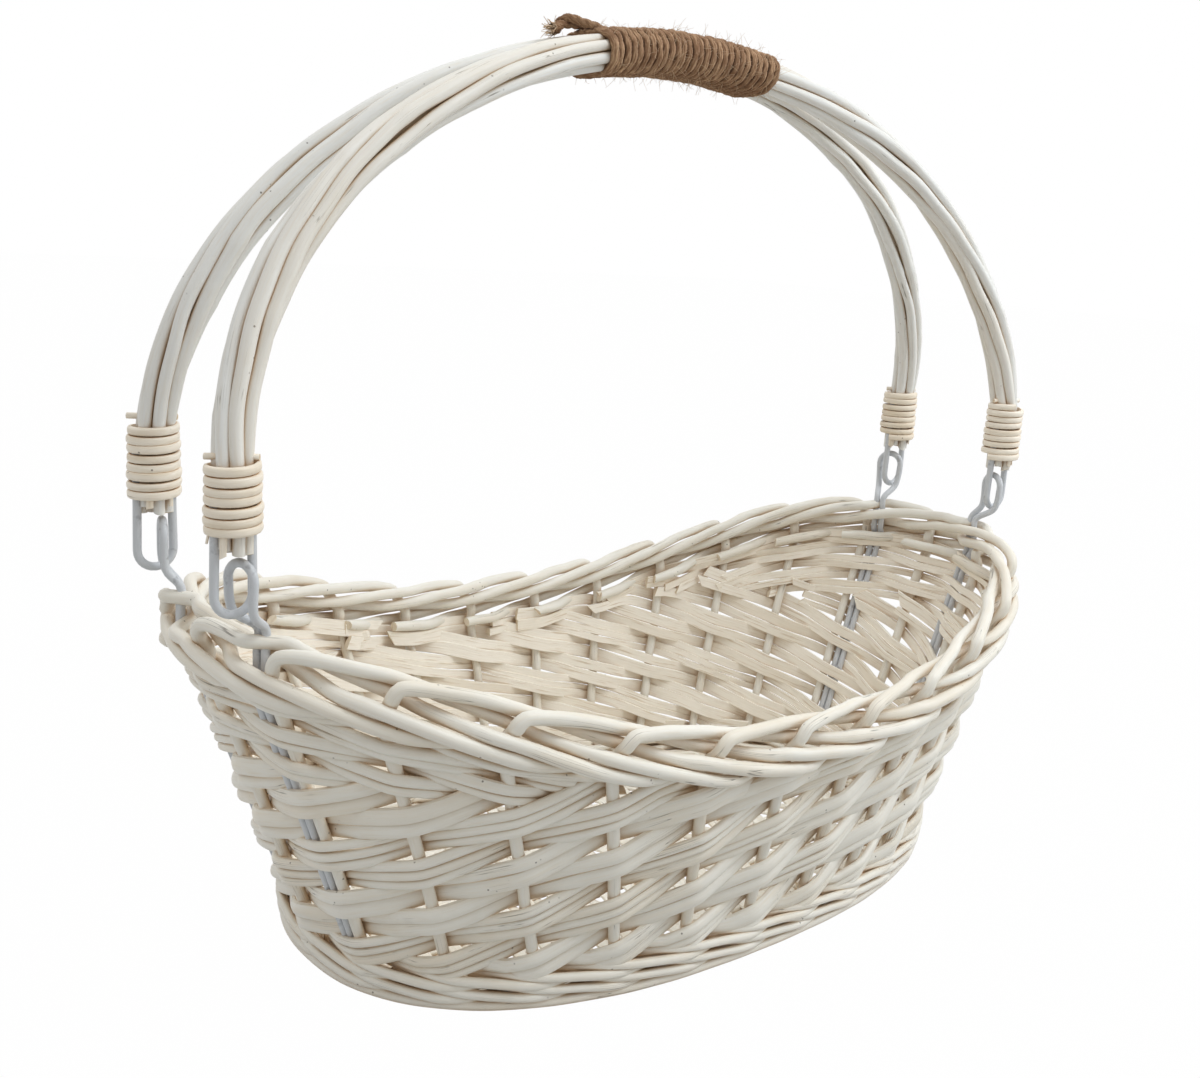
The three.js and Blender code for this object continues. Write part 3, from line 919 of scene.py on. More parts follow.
@dataclass
class Stakes:
    """Upright rods whose tops are turned down into the border.

    A route's rows give how far round a rod has come, in stakes, and how far out and how high
    it is there, in bands. The tail's rows give heights and distances out.
    """

    shape: Outline
    seed: int = 11
    diameter: float = 4.35
    border_diameter: float = 4.85
    band: float = 6.2
    clear: float = 4.1
    tail: tuple[tuple[float, float], ...] = ((3.2, -23.0), (3.2, -12.0), (3.4, -5.0), (6.2, -0.8))
    bottom: float = 11.8
    length: float = 335.0
    thickens: tuple[float, float] = (0.32, 0.07)
    knot_count: int = 2
    knot_span: Point = (130.0, 320.0, 2.6)
    tip: int = 6
    tip_share: float = 0.86
    sway: float = 0.35
    bounce: float = 0.25
    spare_end: tuple[float, float] = (-0.3, 0.15)
    drift: float = 0.28
    route: tuple[tuple[float, float, float], ...] = (
        (0.0, 0.02, -1.0),
        (0.0, 0.13, -0.65),
        (0.03, 0.46, -0.2),
        (0.06, 0.78, 0.32),
        (0.12, 0.8, 0.84),
        (0.26, 0.64, 1.03),
        (0.5, 0.36, 1.1),
        (0.75, 0.08, 1.08),
        (1.0, -0.28, 0.96),
        (1.25, -0.4, 0.8),
        (1.5, -0.45, 0.6),
        (1.8, -0.45, 0.3),
        (2.05, -0.4, 0.02),
        (2.3, -0.08, -0.24),
        (2.6, 0.6, -0.38),
        (2.85, 0.95, -0.44),
        (3.1, 1.05, -0.64),
        (3.5, 1.08, -1.0),
        (3.8, 1.05, -1.3),
        (4.05, 0.96, -1.48),
        (4.25, 0.78, -1.56),
        (4.5, 0.05, -1.6),
        (4.75, -0.66, -1.6),
        (5.0, -0.9, -1.58),
        (5.3, -0.96, -1.6),
    )

    def _parted(self, place: float, out: float) -> float:
        """Where a border rod lies once it has made room for the wires.

        Args:
            place: Its place, in stakes.
            out: Its distance out from the stakes.

        Returns:
            The new distance out.
        """
        for link in LINKS:
            gap = abs(place - link.seat_place(self.shape.spacing)) % self.shape.stakes
            gap = min(gap, self.shape.stakes - gap)
            share = min(max((gap - 0.2) / 0.5, 0.0), 1.0)
            aside = out - link.seat_out
            short = max(self.clear - abs(aside), 0.0) * (1 - share * share * (3 - 2 * share))
            out += math.copysign(short, aside)
        return out

    def _line(self, stake: int, rng: Rng) -> Array:
        """The line of one stake, from its tail in the mat to its tip in the border.

        Args:
            stake: Its number, from 0.
            rng: Where its drift comes from.

        Returns:
            The points, n by 3.
        """
        shape = self.shape
        top = float(shape.top(stake))
        points = [shape.wall(stake, z, out)[0] for z, out in self.tail]
        for z in np.linspace(self.bottom, top, 7):
            aside = rng.uniform(-self.sway, self.sway)
            points.append(shape.wall(stake + aside / shape.spacing, z)[0])
        last = self.route[-1][0] + rng.uniform(*self.spare_end)
        for along, out_share, height_share in self.route:
            place = stake + min(along, last)
            out = self._parted(place, out_share * self.band)
            bump = rng.uniform(-self.bounce, self.bounce)
            points.append(shape.border(place, out, height_share * self.band + bump))
        return smooth(points, 2.0)

    def build(self, finish: Material) -> None:
        """Makes the stakes.

        Args:
            finish: Its material.
        """
        rng = np.random.default_rng(self.seed)
        for stake in range(self.shape.stakes):
            line = self._line(stake, rng)
            run = np.linspace(0, 1, len(line))
            distance = run * self.length
            start, ease = self.thickens
            swell = np.clip((run - start) / ease, 0, 1)
            thick = rng.uniform(0.95, 1.05)
            width = (self.diameter + (self.border_diameter - self.diameter) * swell) * thick
            width = width + wander(rng, distance, self.drift)
            width[-self.tip :] *= np.linspace(1.0, self.tip_share, self.tip)
            width = width + knots(rng, distance, self.knot_count, self.knot_span)
            rod = RodMesh(f"stake_rod_{stake + 1}")
            rod.add(line, width, tone=rng.uniform(), cuts=(0.0, rng.uniform(-0.8, 0.8)))
            dress(rod.make(), finish, Body.BASKET, (f"stake_{stake + 1}",))


@dataclass
class Wale:
    """Thin rods woven together in threes round the foot of the wall, in two layers.

    Sides and heights repeat along a rod, two steps to a stake.
    """

    shape: Outline
    seed: int = 5
    diameter: float = 3.5
    out: float = 4.2
    levels: tuple[float, ...] = (6.3, 11.3)
    step_height: float = 3.3
    ring_out: float = 3.2
    ring_level: float = 2.1
    ring_diameter: float = 3.9
    ring_step: float = 0.12
    ring_drift: tuple[float, float] = (0.25, 0.12)
    drift: float = 0.3
    uneven: float = 0.2
    length: float = 2620.0
    sides: tuple[float, ...] = (1, 1, 1, 0, -1, 0)
    heights: tuple[float, ...] = (0.45, -0.02, -0.45, -0.5, -0.02, 0.5)

    def build(self, finish: Material) -> None:
        """Makes the wale, and the two rods that close the foot under it.

        Args:
            finish: Its material.
        """
        rng = np.random.default_rng(self.seed)
        rod = RodMesh("wale_rods")
        for layer, level in enumerate(self.levels):
            points = []
            steps = list(zip(self.sides, self.heights)) * self.shape.stakes
            for step, (side, height) in enumerate(steps):
                z = level + height * self.step_height + rng.uniform(-self.uneven, self.uneven)
                place = step / 2 + layer
                point = self.shape.wall(place, max(level, self.shape.foot), side * self.out)[0]
                points.append([point[0], point[1], z])
            line = smooth(points, 2.6, closed=True)
            distance = np.linspace(0, self.length, len(line))
            width = self.diameter + wander(rng, distance, self.drift)
            rod.add(line, width, tone=0.3 + 0.4 * layer, closed=True)
        for side in (-1, 1):
            place = np.arange(0, self.shape.stakes, self.ring_step)
            distance = place * self.shape.spacing
            out = side * (self.ring_out + wander(rng, distance, self.ring_drift[0]))
            points, _ = self.shape.wall(place, self.shape.foot, out)
            points[:, 2] = self.ring_level + wander(rng, distance, self.ring_drift[1])
            width = self.ring_diameter + wander(rng, distance, self.drift)
            rod.add(points, width, tone=0.6, closed=True)
        dress(rod.make(), finish, Body.BASKET, ("wale",))


@dataclass
class WovenWall:
    """Split rods laid in bundles, one from each stake, that climb as they go round.

    Start, finish_at and tip_start are in stakes from the one where a bundle begins. Drift is
    how far a split strays up, out, in its width and in its roll.
    """

    shape: Outline
    seed: int = 23
    first_height: float = 17.6
    rise: float = 10.5
    bundle_height: float = 11.2
    thickness: float = 2.5
    out: float = 3.75
    start: float = -0.95
    finish_at: float = 7.3
    steps: int = 13
    lowest: float = 14.0
    below_border: float = 1.2
    bend_room: float = 3.0
    bend_ease: float = 4.5
    tip_start: float = 6.75
    tip_tuck: float = 2.4
    share_of_threes: float = 0.4
    uneven: tuple[float, float] = (0.75, 1.25)
    thick_range: tuple[float, float] = (0.85, 1.12)
    finish_range: tuple[float, float] = (-0.35, 0.3)
    climb_drift: float = 0.5
    stake_length: float = 34.0
    overlap: float = 1.03
    drift: tuple[float, float, float, float] = (0.45, 0.22, 0.3, 0.1)

    def weave(self, turn: Array) -> Array:
        """Distance out of a bundle that passes outside at even turns, inside at odd ones."""
        return self.out * np.arcsin(0.975 * np.cos(math.pi * turn)) / math.asin(0.975)

    def bundle(
        self,
        rods: RodMesh,
        rng: Rng,
        line: Sequence[Array],
        height: float,
        count: int,
    ) -> None:
        """Adds the splits that lie side by side along one line.

        Args:
            rods: The mesh that they join.
            rng: Where their variation comes from.
            line: Places of the line in stakes, its heights and its distances out.
            height: Height of the whole bundle.
            count: How many splits share it.
        """
        place, z, out = line
        drift_up, drift_out, drift_width, drift_roll = self.drift
        shares = rng.uniform(*self.uneven, count)
        shares = shares / shares.sum()
        low = -0.5
        for share in shares:
            middle = low + share / 2
            low += share
            trim = slice(rng.integers(0, 4), len(place) - rng.integers(0, 5))
            distance = place[trim] * self.shape.spacing
            level = z[trim] + middle * height + wander(rng, distance, drift_up)
            depth = out[trim] + wander(rng, distance, drift_out)
            points, normal = self.shape.wall(place[trim], level, depth)
            width = share * height * self.overlap + wander(rng, distance, drift_width)
            thick = self.thickness * rng.uniform(*self.thick_range)
            tone, cuts = rng.uniform(), tuple(rng.uniform(-0.9, 0.9, 2))
            roll = wander(rng, distance, drift_roll)
            rods.add(points, width, thick, Section.SPLIT, normal, tone, cuts, roll)

    def build(self, finish: Material, stands_for: Sequence[str]) -> None:
        """Makes the climbing bundles.

        Args:
            finish: Its material.
            stands_for: The nodes that the bundles are shown for.
        """
        rng = np.random.default_rng(self.seed)
        rods = RodMesh("wall_weave")
        for stake in range(self.shape.stakes):
            ending = self.finish_at + rng.uniform(*self.finish_range)
            turn = np.linspace(self.start, ending, int((ending - self.start) * self.steps))
            place = stake + 1 + turn
            drift = wander(rng, turn * self.stake_length, self.climb_drift)
            z = self.first_height + self.rise * turn + drift
            level = self.shape.top(place) - self.below_border - self.bend_room
            over = np.maximum(z - level, 0.0)
            z = np.where(over > 0, level + self.bend_room * np.tanh(over / self.bend_ease), z)
            z = np.maximum(z, self.lowest)
            out = self.weave(turn) - self.tip_tuck * np.clip(turn - self.tip_start, 0, 1)
            count = 3 if rng.uniform() < self.share_of_threes else 2
            self.bundle(rods, rng, (place, z, out), self.bundle_height, count)
        dress(rods.make(), finish, Body.BASKET, stands_for)


@dataclass
class PackedEnd:
    """Short rows that build up one end of the wall above the climbing bundles.

    End is a place in stakes, and spare is what the rows leave free at their two ends there.
    """

    weaving: WovenWall
    name: str
    end: float
    spare: tuple[float, float] = (-0.2, -0.3)
    seed: int = 41
    rows: int = 5
    pitch: float = 6.5
    first: float = -0.6
    lowest: float = 88.5
    sunk: float = 1.5
    tuck: float = 5.2
    tuck_length: float = 0.8
    shortest: float = 0.7
    ragged: tuple[float, float] = (-0.45, 0.35)
    bundle_height: float = 7.4

    def _reach(self, way: int, below: float) -> float:
        """How far a row goes one way before it would drop into the climbing bundles.

        Args:
            way: -1 or 1, the way that it goes.
            below: How far it lies below the wall's top.

        Returns:
            The reach, in stakes.
        """
        turn = np.arange(0.6, 5.4, 0.05)
        z = self.weaving.shape.top(self.end + way * turn) - below
        low = np.nonzero(z < self.lowest)[0]
        return float(turn[low[0]] if len(low) else turn[-1])

    def build(self, finish: Material, stands_for: str) -> None:
        """Makes the rows of this end, side by side under the border.

        Args:
            finish: Its material.
            stands_for: The node that the rows are shown for.
        """
        shape = self.weaving.shape
        rng = np.random.default_rng(self.seed + int(self.end))
        rods = RodMesh(self.name)
        for row in range(self.rows):
            below = self.first + row * self.pitch
            left, right = (
                max(self._reach(way, below) - spare + rng.uniform(*self.ragged), self.shortest)
                for way, spare in zip((-1, 1), self.spare)
            )
            turn = np.linspace(-left, right, int((left + right) * self.weaving.steps))
            place = self.end + turn
            z = np.maximum(shape.top(place) - below, self.lowest - self.sunk)
            out = self.weaving.weave(place + row)
            from_end = np.minimum(turn + left, right - turn)
            inside = 1 - np.clip(from_end / self.tuck_length, 0, 1)
            out = out + (-self.tuck - out) * inside**1.5
            self.weaving.bundle(rods, rng, (place, z, out), self.bundle_height, 2)
        dress(rods.make(), finish, Body.BASKET, (stands_for,))


@dataclass
class BaseMat:
    """Flat splits woven across long rods, inside a bound oval edge.

    A ring of the edge has its inset, its height and its diameter.
    """

    shape: Outline
    seed: int = 3
    inset: float = 5.5
    margin: float = 3.0
    level: float = 3.0
    swing: float = 1.55
    lanes: int = 11
    rows: int = 47
    warp_pitch: float = 13.4
    warp_diameter: float = 2.6
    warp_drift: float = 0.6
    weft_pitch: float = 6.2
    weft_lift: float = 0.1
    weft_drift: float = 0.5
    weft_uneven: float = 0.2
    weft_size: tuple[float, float] = (5.7, 1.5)
    shortest: float = 8.0
    rings: tuple[Point, ...] = ((1.6, 2.5, 3.4), (5.0, 4.4, 3.2), (5.2, 1.7, 3.2))
    ring_drift: float = 0.15

    def _reach(self, across: float, along_x: bool) -> float:
        """How far a rod reaches at a distance from the middle.

        Args:
            across: That distance.
            along_x: Whether the rod runs along the mat.

        Returns:
            The reach, the same both ways.
        """
        length = self.shape.foot_length / 2 - self.inset - self.margin
        width = self.shape.foot_width / 2 - self.inset - self.margin
        own, other = (length, width) if along_x else (width, length)
        share = 1 - min(abs(across) / other, 1.0) ** self.shape.power
        return own * share ** (1 / self.shape.power)

    def build(self, finish: Material) -> None:
        """Makes the mat.

        Args:
            finish: Its material.
        """
        rng = np.random.default_rng(self.seed)
        rods = RodMesh("base_weave")
        for lane in range(self.lanes):
            y = (lane - self.lanes // 2) * self.warp_pitch
            reach = self._reach(y, True)
            x = np.linspace(-reach, reach, 60)
            line = np.stack([x, y + wander(rng, x, self.warp_drift), self.level + 0 * x], 1)
            rods.add(line, self.warp_diameter, tone=rng.uniform())
        for row in range(-(self.rows // 2), self.rows // 2 + 1):
            x = row * self.weft_pitch + rng.uniform(-self.weft_uneven, self.weft_uneven)
            reach = self._reach(x, False)
            if reach < self.shortest:
                continue
            y = np.linspace(-reach, reach, max(9, int(reach / 1.5)))
            swing = self.swing * np.cos(math.pi * (y / self.warp_pitch + row))
            aside = x + wander(rng, y, self.weft_drift)
            line = np.stack([aside, y, self.level + self.weft_lift + swing], 1)
            up = np.tile([0.0, 0.0, 1.0], (len(y), 1))
            rods.add(line, *self.weft_size, Section.SPLIT, outward=up, tone=rng.uniform())
        for inset, z, width in self.rings:
            angle = np.linspace(0, TURN, 220, endpoint=False)
            size = self.shape.foot_length / 2, self.shape.foot_width / 2
            ring = self.shape.oval(angle, *(half - self.inset - inset for half in size))
            line = np.column_stack([ring, z + wander(rng, angle * 100, self.ring_drift)])
            rods.add(line, width, tone=rng.uniform(), closed=True)
        dress(rods.make(), finish, Body.BASKET, ("base_mat",))


# Wire links


@dataclass
class WireLinks:
    """Basket eyes bent from doubled wire, and the loops in the handle's feet."""

    shape: Outline
    diameter: float = 3.0
    eye_rise: float = 22.4
    eye_half: float = 4.59
    eye_top_half: float = 5.6
    eye_shift: float = 2.5
    groove: float = 6.056
    loop_half: float = 6.3
    lift: float = 11.5
    spare: float = 1.75
    leg_beside: float = 4.58
    leg_spacing: float = 3.3
    span: float = 400.0
    foot_spacing: float = 64.0
    leg_bottom: float = 15.2
    seat_heights: tuple[float, ...] = (-6.045, 3.1, 10.484)
    waist_share: float = 0.9
    below_cane: float = 1.5
    into_cane: float = 5.0
    step: float = 1.5

    @property
    def eye_top(self) -> float:
        """Height of the wire at the top of the eyes."""
        return float(self.shape.rim(LINKS[0].stake)) + self.eye_rise

    @property
    def loop_bottom(self) -> float:
        """Height of the wire at the bottom of the handle's loops."""
        return self.eye_top - self.diameter - self.lift - self.spare

    def foot(self, link: Link) -> tuple[float, float]:
        """Where a foot of the handle stands over the rim."""
        return link.end * self.span / 2, link.arch * self.foot_spacing / 2

    def _leg(self, link: Link, beside: float) -> list[Array]:
        """One leg of an eye, from the weave up through the border.

        Args:
            link: The foot that it belongs to.
            beside: How far it stands beside its stake.

        Returns:
            Its points.
        """
        shape = self.shape
        low = link.stake + link.side * beside / shape.spacing
        high = link.stake + link.side * (beside + link.lean) / shape.spacing
        climb = float(shape.top(link.stake)) - self.leg_bottom
        points = [
            shape.wall(low + (high - low) * t, self.leg_bottom + climb * t)[0]
            for t in (0.0, 0.33, 0.66, 1.0)
        ]
        return points + [shape.border(high, link.seat_out, z) for z in self.seat_heights]

    def _eye(self, link: Link) -> Array:
        """The line of a basket eye, from one leg's end to the other's.

        Args:
            link: The foot that it belongs to.

        Returns:
            The points, n by 3.
        """
        x, y = self.foot(link)
        x -= link.end * self.eye_shift
        near, far = (self._leg(link, self.leg_beside + gap) for gap in (0.0, self.leg_spacing))
        first, second = (near, far) if link.side > 0 else (far, near)
        along = second[-1] - first[-1]
        along[2] = 0.0
        along /= np.linalg.norm(along)
        centre = np.array([x, y, self.eye_top - self.eye_top_half])
        seat = (first[-1] + second[-1]) / 2
        waist = seat + (centre - seat) * self.waist_share
        waist[2] = self.loop_bottom
        up = np.array([0.0, 0.0, 1.0])
        bow = [
            centre + (up * math.sin(angle) - along * math.cos(angle)) * self.eye_top_half
            for angle in np.linspace(0, math.pi, 13)
        ]
        sides = [waist - along * self.eye_half, waist + along * self.eye_half]
        return smooth([*first, sides[0], *bow, sides[1], *second[::-1]], self.step)

    def _loop(self, link: Link, cane_bottom: float, foot_height: float) -> Array:
        """The line of a handle loop, between its two legs in the grooves.

        Args:
            link: The foot that it belongs to.
            cane_bottom: Height where the cane starts.
            foot_height: Height where the wire ends.

        Returns:
            The points, n by 3.
        """
        x, y = self.foot(link)
        levels = (foot_height, cane_bottom + self.into_cane, cane_bottom - self.below_cane)
        down = [[x - self.groove, y, level] for level in levels]
        up = [[x + self.groove, y, level] for level in reversed(levels)]
        angle = np.linspace(math.pi, TURN, 15)
        bend = np.stack([np.cos(angle), 0 * angle, 1 + np.sin(angle)], 1) * self.loop_half
        bend = bend + np.array([x, y, self.loop_bottom])
        return smooth([*down, *bend, *up], self.step)

    def _bend(self, name: str, line: Array) -> bpy.types.Object:
        """Wire of round section along a line, made as a curve.

        Args:
            name: The new object's name.
            line: The line, n by 3.

        Returns:
            The new object.
        """
        select_only(None)
        bpy.ops.curve.primitive_nurbs_path_add()
        wire = bpy.context.object
        wire.name = name
        curve = wire.data
        curve.splines.clear()
        spline = curve.splines.new("POLY")
        spline.points.add(len(line) - 1)
        spline.points.foreach_set("co", np.column_stack([line * MM, np.ones(len(line))]).ravel())
        curve.bevel_depth = self.diameter / 2 * MM
        curve.bevel_resolution = 4
        curve.use_fill_caps = True
        curve.dimensions = "3D"
        bpy.ops.object.convert(target="MESH")
        bpy.ops.object.shade_smooth_by_angle(angle=math.radians(50))
        return bpy.context.object

    def build(self, finish: Material, cane_bottom: float, foot: float) -> None:
        """Makes the eyes and the loops.

        Args:
            finish: Their material.
            cane_bottom: Height where the cane starts.
            foot: Height where the wire of the loops ends.
        """
        for link in LINKS:
            eye = self._bend(f"eye_wire_{link.name}", self._eye(link))
            dress(eye, finish, Body.BASKET, (f"basket_eye_{link.name}",))
            line = self._loop(link, cane_bottom, foot)
            loop = self._bend(f"loop_wire_{link.name}", line)
            dress(loop, finish, Body.HANDLE, (f"handle_loop_{link.name}",))


# The handle


@dataclass
class Handle:
    """Two arches of twisted rods that meet at the grip."""

    links: WireLinks
    seed: int = 17
    rise: float = 146.8
    top_spacing: float = 12.2
    arch_power: float = 1.98
    spacing_power: float = 0.8
    rods: int = 6
    offset: float = 4.1
    bulge: float = 0.55
    loose: float = 0.45
    slip: float = 0.2
    thin: float = 3.7
    thick: float = 4.8
    thick_range: tuple[float, float] = (0.4, 1.7)
    drift: float = 0.3
    twist_turns: float = 1.0
    cane_rise: float = 6.2
    cane_pitch: float = 3.1
    cane_turns: int = 7
    steps: int = 90
    step: float = 3.0
    core: float = 3.6
    arch_length: float = 520.0
    length: float = 560.0
    knot_count: int = 3
    knot_span: Point = (40.0, 520.0, 3.0)
    end_gap: float = 1.8
    feet: tuple[float, ...] = (0.0, 8.0, 16.0)
    grip_half: float = 0.11
    foot_length: float = 0.09
    foot_girth: float = 0.25
    ends: tuple[float, ...] = (1.1, 1.9, 3.9, 1.5)

    @property
    def lowest_end(self) -> float:
        """Height of the lowest cut rod end."""
        return self.links.eye_top + self.end_gap

    @property
    def cane_bottom(self) -> float:
        """Height where the cane bindings start."""
        return self.lowest_end + self.cane_rise

    @property
    def foot_height(self) -> float:
        """Height where the arches start to lean in."""
        return self.cane_bottom + (self.cane_turns - 1) * self.cane_pitch

    def height(self, x: Any) -> Array:
        """Height of the arches' middle line.

        Args:
            x: Places along the handle.

        Returns:
            The heights.
        """
        share = np.minimum(np.abs(2 * np.asarray(x) / self.links.span), 1.0)
        curve = (1 - share**self.arch_power) ** (1 / self.arch_power)
        return self.foot_height + self.rise * curve

    def side(self, z: Any) -> Array:
        """Distance of each arch from the middle plane.

        Args:
            z: Heights on the arch.

        Returns:
            The distances.
        """
        share = np.clip((np.asarray(z) - self.foot_height) / self.rise, 0, 1)
        spread = self.links.foot_spacing - self.top_spacing
        return (self.top_spacing + spread * (1 - share) ** self.spacing_power) / 2

    def away(self, x: Any, z: Any) -> Array:
        """Directions out of the arch.

        Args:
            x: Places along the handle.
            z: The heights there.

        Returns:
            The directions, of length 1.
        """
        half = self.links.span / 2
        rise = (np.asarray(z) - self.foot_height) / self.rise**2
        return unit(np.stack([np.asarray(x) / half**2, 0 * rise, rise], -1))

    def line(self, arch: int, angle: Any, offset: Array) -> Array:
        """The line of one rod of a bundle.

        Args:
            arch: -1 for the front arch, 1 for the rear one.
            angle: Where the rod lies in the bundle at the top.
            offset: Its distance from the bundle's middle, all along.

        Returns:
            The points of its line, without the straight feet.
        """
        turn = np.linspace(0, 1, len(offset))
        x = -self.links.span / 2 * np.cos(turn * math.pi)
        z = self.height(x)
        swing = angle + (turn - 0.5) * self.twist_turns * TURN
        points = np.stack([x, self.side(z), z], 1)
        points = points + self.away(x, z) * (offset * np.cos(swing))[:, None]
        points[:, 1] = arch * points[:, 1] + offset * np.sin(swing)
        return points

    def girth(self, turn: Array) -> Array:
        """How full the bundle is along the arch: thin at its feet and in the grip.

        Args:
            turn: Shares of the way along the arch.

        Returns:
            The girths, from 0 to 1.
        """
        middle = 1 - np.exp(-(((turn - 0.5) / self.grip_half) ** 2))
        feet = np.clip(np.minimum(turn, 1 - turn) / self.foot_length, 0, 1)
        feet = feet * feet * (3 - 2 * feet)
        return middle * (self.foot_girth + (1 - self.foot_girth) * feet)

    def build(self, finish: Material) -> None:
        """Makes the rods of both arches.

        Args:
            finish: Its material.
        """
        rng = np.random.default_rng(self.seed)
        for arch, title in ((-1, "front"), (1, "rear")):
            bundle = RodMesh(f"arch_rods_{title}")
            for index in range(self.rods):
                self._rod(bundle, rng, arch, index)
            middle = self.line(arch, 0.0, np.zeros(self.steps))
            bundle.add(middle, self.core, tone=0.2)
            names = [f"handle_rod_{title}_{number}" for number in range(1, 5)]
            dress(bundle.make(), finish, Body.HANDLE, names)

    def _rod(self, bundle: RodMesh, rng: Rng, arch: int, index: int) -> None:
        """Adds one rod of an arch.

        Args:
            bundle: The mesh of the arch.
            rng: Where its variation comes from.
            arch: -1 for the front arch, 1 for the rear one.
            index: Its number in the bundle.
        """
        angle = (index + 0.5) * TURN / self.rods
        full = self.girth(np.linspace(0, 1, self.steps))
        distance = np.linspace(0, self.arch_length, self.steps)
        offset = self.offset + self.bulge * full + wander(rng, distance, self.loose) * full
        slip = wander(rng, distance, self.slip) * full
        line = self.line(arch, angle + slip, offset)
        feet = []
        for point, extra in ((line[0], index), (line[-1], index + 2)):
            low = self.lowest_end + self.ends[extra % len(self.ends)]
            feet.append([[point[0], point[1], low + height] for height in self.feet])
        line = smooth([*feet[0], *line[1:-1], *feet[1][::-1]], self.step)
        distance = np.linspace(0, self.length, len(line))
        full = self.girth(np.linspace(0, 1, len(line)))
        width = self.thin + (self.thick - self.thin) * full * rng.uniform(*self.thick_range)
        width = width + wander(rng, distance, self.drift)
        width = width + knots(rng, distance, self.knot_count, self.knot_span)
        bundle.add(line, width, tone=rng.uniform(), cuts=tuple(rng.uniform(-0.5, 0.5, 2)))


@dataclass
class CaneBindings:
    """Split cane wound round each foot of the handle.

    Drift is how far the cane strays out, up and in its width.
    """

    handle: Handle
    seed: int = 29
    inner: float = 7.75
    width: float = 3.0
    thickness: float = 1.45
    extra_turns: tuple[float, ...] = (0.0, 0.9, 1.2, 0.3)
    crease: float = 60.0
    steps: int = 22
    draw_in: float = 0.07
    drift: Point = (0.28, 0.3, 0.25)
    drift_step: float = 40.0
    tilt: float = 0.35
    peg_rise: float = 3.6
    peg_diameter: float = 2.1
    peg_reach: tuple[float, float] = (-8.4, 7.8)
    peg_slant: tuple[float, float] = (-0.6, -0.2)
    tails: int = 3
    tail_drop: tuple[float, float] = (1.5, 4.5)
    tail_width: tuple[float, float] = (1.6, 2.6)
    tail_thickness: float = 0.8
    tail_inset: float = 0.7
    tail_rise: float = 3.0
    tail_lean: tuple[float, float] = (-1.2, 0.2)

    def build(self, finish: Material) -> None:
        """Makes the four bindings.

        Args:
            finish: Its material.
        """
        rng = np.random.default_rng(self.seed)
        handle = self.handle
        drift_out, drift_up, drift_width = self.drift
        for link, extra in zip(LINKS, self.extra_turns):
            x, y = handle.links.foot(link)
            rods = RodMesh(f"cane_lapping_{link.name}")
            turns = handle.cane_turns + extra
            turn = np.linspace(0, turns, int(turns * self.steps))
            angle = turn * TURN + rng.uniform(0, TURN)
            run = turn * self.drift_step
            reach = self.inner + self.thickness / 2 + wander(rng, run, drift_out)
            reach = reach - self.draw_in * turn
            z = handle.cane_bottom + self.width / 2 + turn * handle.cane_pitch
            z = z + wander(rng, run, drift_up) + self.tilt * np.sin(angle)
            out = np.stack([np.cos(angle), np.sin(angle), 0 * angle], 1)
            line = np.array([x, y, 0.0]) + out * reach[:, None]
            line[:, 2] = z
            width = self.width + wander(rng, run, drift_width)
            rods.add(line, width, self.thickness, Section.STRAP, out, rng.uniform())
            self._tails(rods, rng, np.array([x, y, handle.cane_bottom]))
            across = unit(np.array([1.0, rng.uniform(*self.peg_slant), 0.0]))
            peg_height = handle.cane_bottom + turns * handle.cane_pitch + self.peg_rise
            peg = np.array([x, y, peg_height]) + across * np.linspace(*self.peg_reach, 6)[:, None]
            rods.add(peg, self.peg_diameter, tone=0.4, cuts=(0.3, -0.2))
            nodes = (f"cane_binding_{link.name}",)
            dress(rods.make(self.crease), finish, Body.HANDLE, nodes)

    def _tails(self, rods: RodMesh, rng: Rng, foot: Array) -> None:
        """Adds the cut tails of the cane below a binding.

        Args:
            rods: The mesh of the binding.
            rng: Where their variation comes from.
            foot: The middle of the binding's lower end.
        """
        for _ in range(self.tails):
            angle = rng.uniform(0, TURN)
            out = np.array([math.cos(angle), math.sin(angle), 0.0])
            drop = rng.uniform(*self.tail_drop)
            top = foot + out * (self.inner - self.tail_inset) + np.array([0, 0, self.tail_rise])
            lean = rng.uniform(*self.tail_lean)
            low = foot + out * (self.inner + lean) - np.array([0, 0, drop])
            line = top + (low - top) * np.linspace(0, 1, 5)[:, None]
            width, tone = rng.uniform(*self.tail_width), rng.uniform()
            cuts = (0.0, rng.uniform(-0.8, 0.8))
            outward = np.tile(out, (len(line), 1))
            rods.add(line, width, self.tail_thickness, Section.STRAP, outward, tone, cuts)


